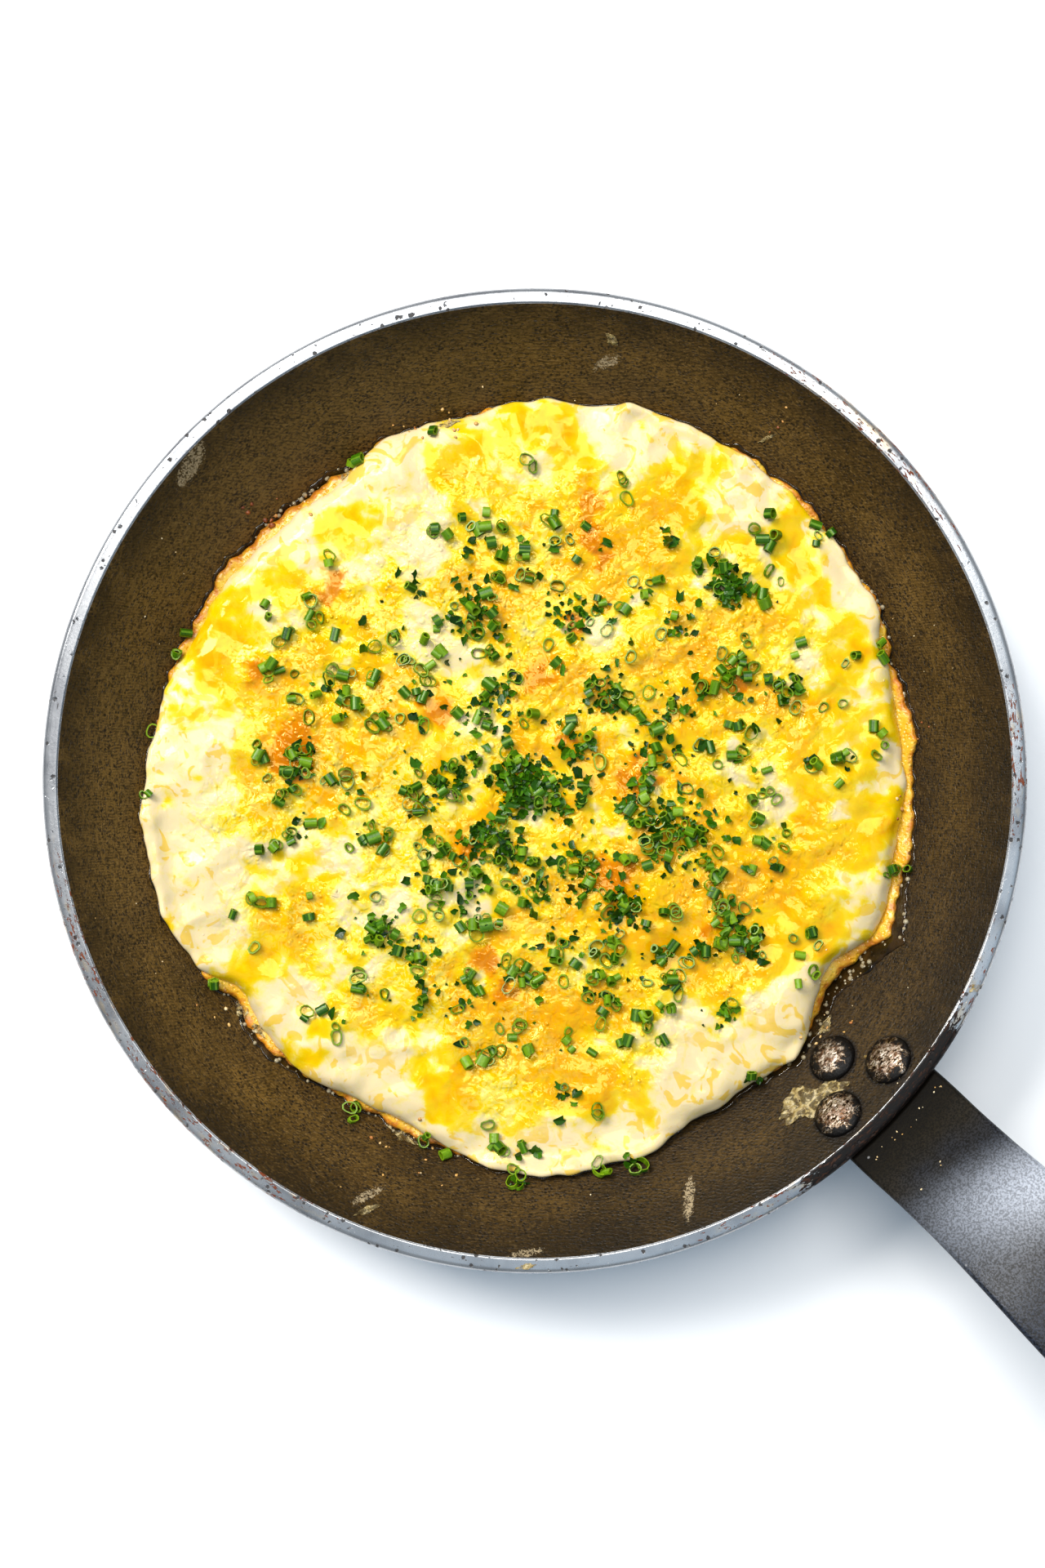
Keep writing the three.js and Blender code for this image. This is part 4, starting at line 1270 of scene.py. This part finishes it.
# Parsley: a torn disc of nine uneven points, folded by 0.5 |y| and crinkled, closed by a middle point
# above and one below, tilted and laid on the ground.
def buildParsley(rows):
    sides = herb["flakeSides"]
    spots, normals, (radius, _, tilt), dice = rows[:, :3], rows[:, 3:6], rows[:, 6:9].T, rows[:, 9:].T
    count = len(rows)
    random = np.random.default_rng(19)
    u = np.arange(sides) * 2 * math.pi / sides + random.uniform(-0.25, 0.25, (count, sides))
    reach = radius[:, None] * random.uniform(0.45, 1.2, (count, sides))
    x, y = reach * np.cos(u) * (1.0 + 0.5 * dice[0][:, None]), reach * np.sin(u) * 0.9
    crinkle = radius[:, None] * random.uniform(-0.22, 0.22, (count, sides)) + 0.5 * np.abs(y)
    thick = herb["flakeHalfThick"]
    top = np.stack([x, y, crinkle + thick], -1)
    low = np.stack([x, y, crinkle - thick], -1)
    middle = np.zeros((count, 2, 3))
    middle[:, 0, 2], middle[:, 1, 2] = thick, -thick
    local = np.concatenate([top, low, middle], 1)
    lean = (tilt * degree)[:, None]
    leantX = local[..., 0] * np.cos(lean) + local[..., 2] * np.sin(lean)
    leantZ = local[..., 2] * np.cos(lean) - local[..., 0] * np.sin(lean)
    local = np.stack([leantX, local[..., 1], leantZ], -1)
    along, across, up = restingAxes(normals, dice[4] * 2 * math.pi)
    lift = 0.1 - 0.7 * leantZ.min(1)
    points = (spots + normals * lift[:, None])[:, None] + local @ np.stack([along, across, up], 1)
    ring = np.arange(sides)
    after = np.roll(ring, -1)
    quads = np.stack([ring + sides, after + sides, after, ring], -1)
    caps = np.vstack([fan(2 * sides, ring), fan(2 * sides + 1, ring + sides, False)])
    each = 2 * sides + 2
    faces = [repeated(quads, count, each), repeated(caps, count, each)]
    values = {"tone": np.repeat(dice[1], each)}
    makePiece("choppedParsley", points.reshape(-1, 3), faces, parsleyLook(), values=values, sharp=30)


# Chive skin: leaf green, darker or lighter from piece to piece, with pale ribs, yellow-green cut and inside.
def chiveLook():
    look = Look("chiveSkin")
    tone = look.stored("tone")
    part = look.stored("part")
    skin = look.ramp(tone, (0.05, rgb(30, 70, 0)), (0.55, rgb(62, 104, 2)), (0.95, rgb(112, 146, 14)))
    skin = look.mix(look.stored("rib") * 0.45, skin, rgb(122, 160, 36))
    skin = look.mix(part.step(0.6, 1) * 0.7, skin, rgb(78, 104, 2))
    skin = look.mix(part.step(0.1, 0.4) * (1 - part.step(0.6, 0.9)) * 0.55, skin, rgb(124, 148, 20))
    skin = look.mix(look.noise(0.9, 3).step(0.5, 0.75) * 0.4, skin, rgb(24, 60, 2))
    return look.finish(
        Base_Color=skin,
        Roughness=0.3,
        Normal=look.bump(look.noise(0.5, 2) * 0.05),
        Subsurface_Weight=0.1,
        Subsurface_Radius=(0.3, 0.8, 0.1),
        Subsurface_Scale=0.001,
        Specular_IOR_Level=0.28,
    )


# Parsley: leaf green, darker or lighter from flake to flake, mottled dark, moist.
def parsleyLook():
    look = Look("parsleyLeaf")
    tone = look.stored("tone")
    leaf = look.ramp(tone, (0.1, rgb(20, 50, 0)), (0.6, rgb(40, 84, 0)), (0.97, rgb(78, 122, 8)))
    leaf = look.mix(look.noise(0.6, 3).step(0.5, 0.7) * 0.4, leaf, rgb(12, 38, 0))
    return look.finish(
        Base_Color=leaf,
        Roughness=0.3,
        Normal=look.bump(look.noise(0.5, 3) * 0.1),
        Specular_IOR_Level=0.28,
    )


# wider: (direction from the handle, spread, extra millimetres), in degrees
# bubbles: (direction, spread, how many)
butter = {
    "around": 900,
    "across": 9,
    "underFood": 1.5,
    "gap": 0.04,  # between the film and the pan
    "edgeThick": 0.08,
    "height": 0.5,
    "bubbleRadius": (0.2, 0.75),
    "bubbleReach": (-0.2, 0.95),  # from the food's edge, in parts of the film's width
    "bubbleLift": 0.25,
    "wider": [(14, 9, 3.4), (352, 7, 1.0), (168, 5, 1.4), (182, 6, 0.8), (268, 6, 1.2), (60, 10, 0.4),
              (104, 8, 0.5), (296, 8, 0.5)],
    "bubbles": [(14, 7, 54), (168, 5, 22), (178, 8, 8), (268, 7, 16), (352, 5, 10), (290, 6, 10),
                (60, 8, 14)],
}


# width of the film past the food, by direction: mean, wider places and ripples, at least 0.2
def butterWidth(angle):
    x, y = food["radius"] * np.cos(angle), food["radius"] * np.sin(angle)
    ripple = 0.6 * noise(x, y, 8, 131) + 0.4 * noise(x, y, 3, 132)
    return np.maximum(0.2, 0.6 + bulgeSum(butter["wider"], angle / degree) + ripple)


# Butter: a lens h sqrt(1 - q^2) (1 - 0.35 q) across a band that hugs the food's edge and lies on the pan.
def buildButter():
    around, across = butter["around"], butter["across"]
    angle = np.arange(around) * 2 * math.pi / around
    edge = np.maximum(eggEdge(angle), sauceEdge(angle))
    q = np.linspace(-1, 1, across)[:, None]
    inner, outer = edge - butter["underFood"], edge + butterWidth(angle)
    r = 0.5 * (inner + outer) + 0.5 * (outer - inner) * q
    base = panInside(r) + butter["gap"]
    lens = butter["height"] * np.sqrt(np.clip(1 - q * q, 0, 1)) * (1 - 0.35 * q)
    top = base + butter["edgeThick"] + lens
    ringR, ringZ = np.vstack([r, r[::-1]]), np.vstack([top, base[::-1]])
    points = np.stack([ringR * np.cos(angle), ringR * np.sin(angle), ringZ], -1).reshape(-1, 3)
    makePiece("butterFilm", points, [ringQuads(2 * across, around)], butterLook())


# bubbles in the butter: small balls, sunk in it along the food's edge
def buildBubbles():
    dice = np.random.default_rng(23)
    heads = [dice.normal(at, spread, count) for at, spread, count in butter["bubbles"]]
    angle = np.concatenate(heads) * degree
    edge = np.maximum(eggEdge(angle), sauceEdge(angle))
    size = dice.uniform(*butter["bubbleRadius"], len(angle))
    r = edge + dice.uniform(*butter["bubbleReach"], len(angle)) * butterWidth(angle)
    centre = np.stack([r * np.cos(angle), r * np.sin(angle), panInside(r) + butter["bubbleLift"]], -1)
    points, faces = pebbles(centre, size, np.zeros(len(size)), dice, 0.0)
    makePiece("butterBubbles", points, faces, bubbleLook())


# Small closed lumps: balls of three rings of eight, with each point pushed in or out by up to rough,
# flattened by squash and turned about the vertical.
def pebbles(centres, sizes, squash, dice, rough):
    rings, sides = 3, 8
    lift = (np.arange(1, rings + 1) / (rings + 1) - 0.5) * math.pi
    u = np.arange(sides) * 2 * math.pi / sides
    ball = np.stack([np.outer(np.cos(lift), np.cos(u)), np.outer(np.cos(lift), np.sin(u)),
                     np.repeat(np.sin(lift)[:, None], sides, 1)], -1).reshape(-1, 3)
    ball = np.vstack([ball, [[0, 0, -1], [0, 0, 1]]])
    push = 1 + dice.uniform(-rough, rough, (len(sizes), len(ball), 1))
    flatten = np.stack([1 + squash * 0.5, 1 - squash * 0.2, 1 - squash * 0.5], -1)[:, None]
    local = ball[None] * push * sizes[:, None, None] * flatten
    turn = dice.uniform(0, 2 * math.pi, len(sizes))
    c, s = np.cos(turn)[:, None], np.sin(turn)[:, None]
    x, y, z = local[..., 0], local[..., 1], local[..., 2]
    turned = np.stack([x * c - y * s, x * s + y * c, z], -1)
    points = (centres[:, None] + turned).reshape(-1, 3)
    each = len(ball)
    lowRing, highRing = np.arange(sides), np.arange((rings - 1) * sides, rings * sides)
    caps = np.vstack([fan(each - 2, lowRing, False), fan(each - 1, highRing)])
    return points, [repeated(group, len(sizes), each) for group in (wrappedQuads(rings, sides), caps)]


# (right, up, spread, count, size, tone): crumbs and browned bits on the pan, tone 0 pale to 1 dark
crumbPatches = [
    (-68, 66, 1.2, 6, 0.7, 0.8), (-72, 69, 1.0, 3, 0.6, 0.9), (-60, 72, 2.5, 4, 0.4, 0.6),
    (-20, 91, 4, 10, 0.45, 0.4), (-31, 88, 3, 6, 0.45, 0.5), (-79, -58, 3, 5, 0.4, 0.3),
    (-36, -91, 4, 8, 0.4, 0.35), (-24, -96, 3, 5, 0.4, 0.4), (74, -60, 3, 8, 0.35, 0.4),
    (70, -66, 2, 6, 0.35, 0.3), (93, -6, 2.5, 6, 0.4, 0.6), (96, 12, 2, 4, 0.4, 0.6),
    (60, 88, 2, 4, 0.35, 0.6), (86, -70, 2, 9, 0.3, 0.1), (107, -50, 0.8, 5, 0.45, 0.15),
    (-95, 80, 9, 6, 0.2, 0.0), (40, 106, 20, 12, 0.2, 0.1), (100, 30, 10, 10, 0.18, 0.2),
    (-100, -45, 12, 9, 0.18, 0.1), (0, -110, 30, 18, 0.18, 0.1), (78, -50, 6, 14, 0.2, 0.1),
    (-95, 55, 8, 8, 0.18, 0.1),
]


# crumbs at the handle's root: along runs from where the strip leaves the rim
rootCrumbs = {
    "count": 18,
    "along": 0.9,
    "spread": 2.6,
    "strayShare": 0.1,
    "stray": 15,
    "side": 13,
    "roundness": 0.0043,
}


# Crumbs: pebbles scattered over their patches on the pan and food, and along the handle's root, where the
# strip hugs the round pan and so lies roundness * y^2 nearer to its axis.
def buildCrumbs(ground):
    dice = np.random.default_rng(31)
    centres, sizes, tones = [], [], []
    for right, up, spread, count, size, tone in crumbPatches:
        for dx, dy in dice.normal(0, spread, (count, 2)):
            x, y = onPan(right + dx, up + dy)
            if math.hypot(x, y) < pan["rimInside"] - 1:
                sizes.append(size * dice.uniform(0.5, 1.2))
                centres.append([x, y, float(ground.under(x, y)) + 0.3 * sizes[-1]])
                tones.append(np.clip(tone + dice.normal(0, 0.15), 0, 1))
    for _ in range(rootCrumbs["count"]):
        s = rootCrumbs["along"] + rootCrumbs["spread"] * dice.random() ** 2
        s = s + rootCrumbs["stray"] * (dice.random() < rootCrumbs["strayShare"])
        y = dice.uniform(-rootCrumbs["side"], rootCrumbs["side"])
        x, z = stripRoute(np.array([s]))
        size = dice.uniform(0.1, 0.24)
        centres.append([x[0] - rootCrumbs["roundness"] * y * y, y, z[0] + 0.4 * size])
        sizes.append(size)
        tones.append(dice.uniform(0, 0.5))
    sizes = np.array(sizes)
    points, faces = pebbles(np.array(centres), sizes, dice.uniform(0, 0.8, len(sizes)), dice, 0.28)
    each = len(points) // len(sizes)
    values = {"tone": np.repeat(tones, each)}
    makePiece("panCrumbs", points, faces, crumbLook(), values=values)


# (right, up, half length, half width, angle, lift) in the view: dried films of egg that cling to the pan
scraps = [
    (67.2, -80.4, 8.4, 4.0, 34, 0.7), (73.5, -76.5, 4.6, 2.0, 24, 0.7), (83, -69, 2.6, 1.4, 70, 0.9),
    (85, -73, 2.2, 1.0, 20, 0.7), (19, 108.5, 2.0, 1.2, 140, 0.7), (107, -50.5, 1.8, 1.0, 30, 0.5),
    (-41, -105, 3.6, 0.9, 15, 0.3), (-2, -118, 2.6, 0.8, 10, 0.3), (73, -62, 3.4, 2.0, 45, 0.5),
    (-48, 78, 2.2, 1.2, 60, 0.6), (-74, -58.5, 3.2, 1.5, 125, 0.8), (-70, -63, 2.6, 1.2, 130, 0.8),
    (-33, -90, 4.6, 1.2, 150, 0.7), (58, 85.5, 2.6, 0.5, 20, 0.5), (-22, 90, 3.2, 1.0, 15, 0.6),
]


# A scrap: a disc grid whose radius is (1 + 0.5 noise) / (|cos| + |sin|), so that it ends in ragged points,
# stretched, draped on the ground and crumpled by |noise|, and closed by an underside 0.1 below.
def buildScraps(ground):
    allPoints, allFaces, first = [], [], 0
    share, angle, quads, rim = discGrid(22)
    for seed, (right, up, length, width, heading, lift) in enumerate(scraps):
        edge = 1 + 0.5 * layered(2 * np.cos(angle), 2 * np.sin(angle), 1.3, 3, 200 + seed)
        edge = edge / (np.abs(np.cos(angle)) + np.abs(np.sin(angle)))
        a = share * edge * length * np.cos(angle)
        b = share * edge * width * np.sin(angle)
        c, s = math.cos(heading * degree), math.sin(heading * degree)
        x, y = onPan(right + a * c - b * s, up + a * s + b * c)
        crumple = np.abs(layered(a, b, 1.6, 3, 300 + seed)) * lift * 1.8 + 0.12
        base = ground.under(x, y)
        top = np.stack([x, y, base + crumple], -1)
        low = np.stack([x, y, base + crumple - 0.1], -1)
        count = len(x)
        rimAfter = np.roll(rim, -1)
        wall = np.stack([rim, rim + count, rimAfter + count, rimAfter], -1)
        faces = np.vstack([quads, quads[:, ::-1] + count, wall])
        allPoints += [top, low]
        allFaces.append(faces + first)
        first += 2 * count
    makePiece("driedScraps", np.vstack(allPoints), allFaces, scrapLook())


# Butter: dark clear brown fat, almost mirror smooth.
def butterLook():
    look = Look("brownedButter")
    tint = look.ramp(look.noise(4, 3), (0.35, rgb(20, 13, 5)), (0.65, rgb(58, 40, 14)))
    return look.finish(
        Base_Color=tint,
        Roughness=0.05,
        Alpha=0.8,
        Normal=look.bump(look.noise(1.4, 2) * 0.1),
    )


# Bubbles: a pale, half clear skin of fat.
def bubbleLook():
    look = Look("butterBubble")
    tint = look.ramp(look.noise(1.5, 2), (0.3, rgb(150, 130, 92)), (0.7, rgb(214, 202, 170)))
    return look.finish(Base_Color=tint, Roughness=0.05, Alpha=0.6)


# Crumbs: from pale batter to burnt brown by their stored tone.
def crumbLook():
    look = Look("friedCrumbs")
    shade = look.stored("tone") + (look.noise(0.6, 3) - 0.5) * 0.5
    colour = look.ramp(shade, (0.0, rgb(226, 208, 168)), (0.4, rgb(206, 160, 84)), (0.7, rgb(160, 84, 30)),
                       (1.0, rgb(84, 34, 14)))
    return look.finish(Base_Color=colour, Roughness=0.45, Normal=look.bump(look.noise(0.3, 2) * 0.1))


# Scraps: crisp film, straw to brown, clear in holes between a web of cell edges and blotches of noise.
def scrapLook():
    look = Look("crispFilm")
    colour = look.ramp(look.noise(1.6, 4, 0.6), (0.35, rgb(116, 92, 46)), (0.5, rgb(168, 146, 92)),
                       (0.68, rgb(204, 188, 146)))
    web = 1 - look.cells(4.5, feature="DISTANCE_TO_EDGE").step(0.02, 0.1)
    solid = web.larger(look.noise(1.5, 4, 0.6).step(0.52, 0.62)) * 0.7 + 0.12
    return look.finish(
        Base_Color=colour,
        Roughness=0.35,
        Alpha=solid,
        Normal=look.bump(look.noise(0.4, 3) * 0.12),
    )


# a square of pale floor, 6 metres wide
def buildStage():
    mesh = bpy.data.meshes.new("floor")
    mesh.from_pydata([(-3, -3, 0), (3, -3, 0), (3, 3, 0), (-3, 3, 0)], [], [(0, 1, 2, 3)])
    floor = bpy.data.objects.new("floor", mesh)
    bpy.context.scene.collection.objects.link(floor)
    look = Look("paleFloor")
    mesh.materials.append(look.finish(Base_Color=rgb(250, 250, 251), Roughness=0.8))


# heading in the view and lift above level in degrees, distance and size in metres, power in watts
lights = {
    "window": (137, 46, 1.7, (0.5, 0.8), 35, (1.0, 0.98, 0.94)),
    "overhead": (96, 70, 1.5, (0.8, 0.85), 16, (1.0, 0.98, 0.94)),
    "fill": (-40, 60, 2.0, (1.8, 1.8), 7, (0.56, 0.78, 1.0)),
}
room = {"colour": (0.62, 0.81, 1.0, 1), "strength": 0.26}
view = {"height": 540, "right": -3.0, "up": -0.8, "lens": 51.05}  # height is from the rim


# a flat light that faces the pan's middle
def softLight(name, heading, lift, distance, size, watts, colour):
    data = bpy.data.lights.new(name, "AREA")
    data.shape = "RECTANGLE"
    data.size, data.size_y = size
    data.energy = watts
    data.color = colour
    lamp = bpy.data.objects.new(name, data)
    turn = (heading + cameraTurn) * degree
    flat = distance * math.cos(lift * degree)
    lamp.location = (flat * math.cos(turn), flat * math.sin(turn), distance * math.sin(lift * degree))
    lamp.rotation_euler = (0, math.pi / 2 - lift * degree, turn)
    bpy.context.scene.collection.objects.link(lamp)


def buildLights():
    for name, settings in lights.items():
        softLight(name, *settings)
    world = bpy.data.worlds.new("studio")
    world.use_nodes = True
    background = world.node_tree.nodes["Background"]
    background.inputs["Color"].default_value = room["colour"]
    background.inputs["Strength"].default_value = room["strength"]
    bpy.context.scene.world = world
    print("lights are ready")


# looks straight down from over the middle of the pan
def buildCamera():
    data = bpy.data.cameras.new("camera")
    data.lens = view["lens"]
    camera = bpy.data.objects.new("camera", data)
    x, y = onPan(view["right"], view["up"])
    camera.location = (x * mm, y * mm, (panHeight + view["height"]) * mm)
    camera.rotation_euler = (0, 0, cameraTurn * degree)
    bpy.context.scene.collection.objects.link(camera)
    bpy.context.scene.camera = camera
    bpy.context.scene.view_settings.view_transform = "Standard"
    print("camera is ready")


buildStage()
buildLights()
buildCamera()
buildPan()
buildRivets()
buildHandle()
buildEgg()
buildSauce()
ground = Ground()
print("ground for the loose pieces is ready")
chiveRows, flakeRows = scatterHerbs(ground)
buildChives(chiveRows)
buildParsley(flakeRows)
buildButter()
buildBubbles()
buildCrumbs(ground)
buildScraps(ground)
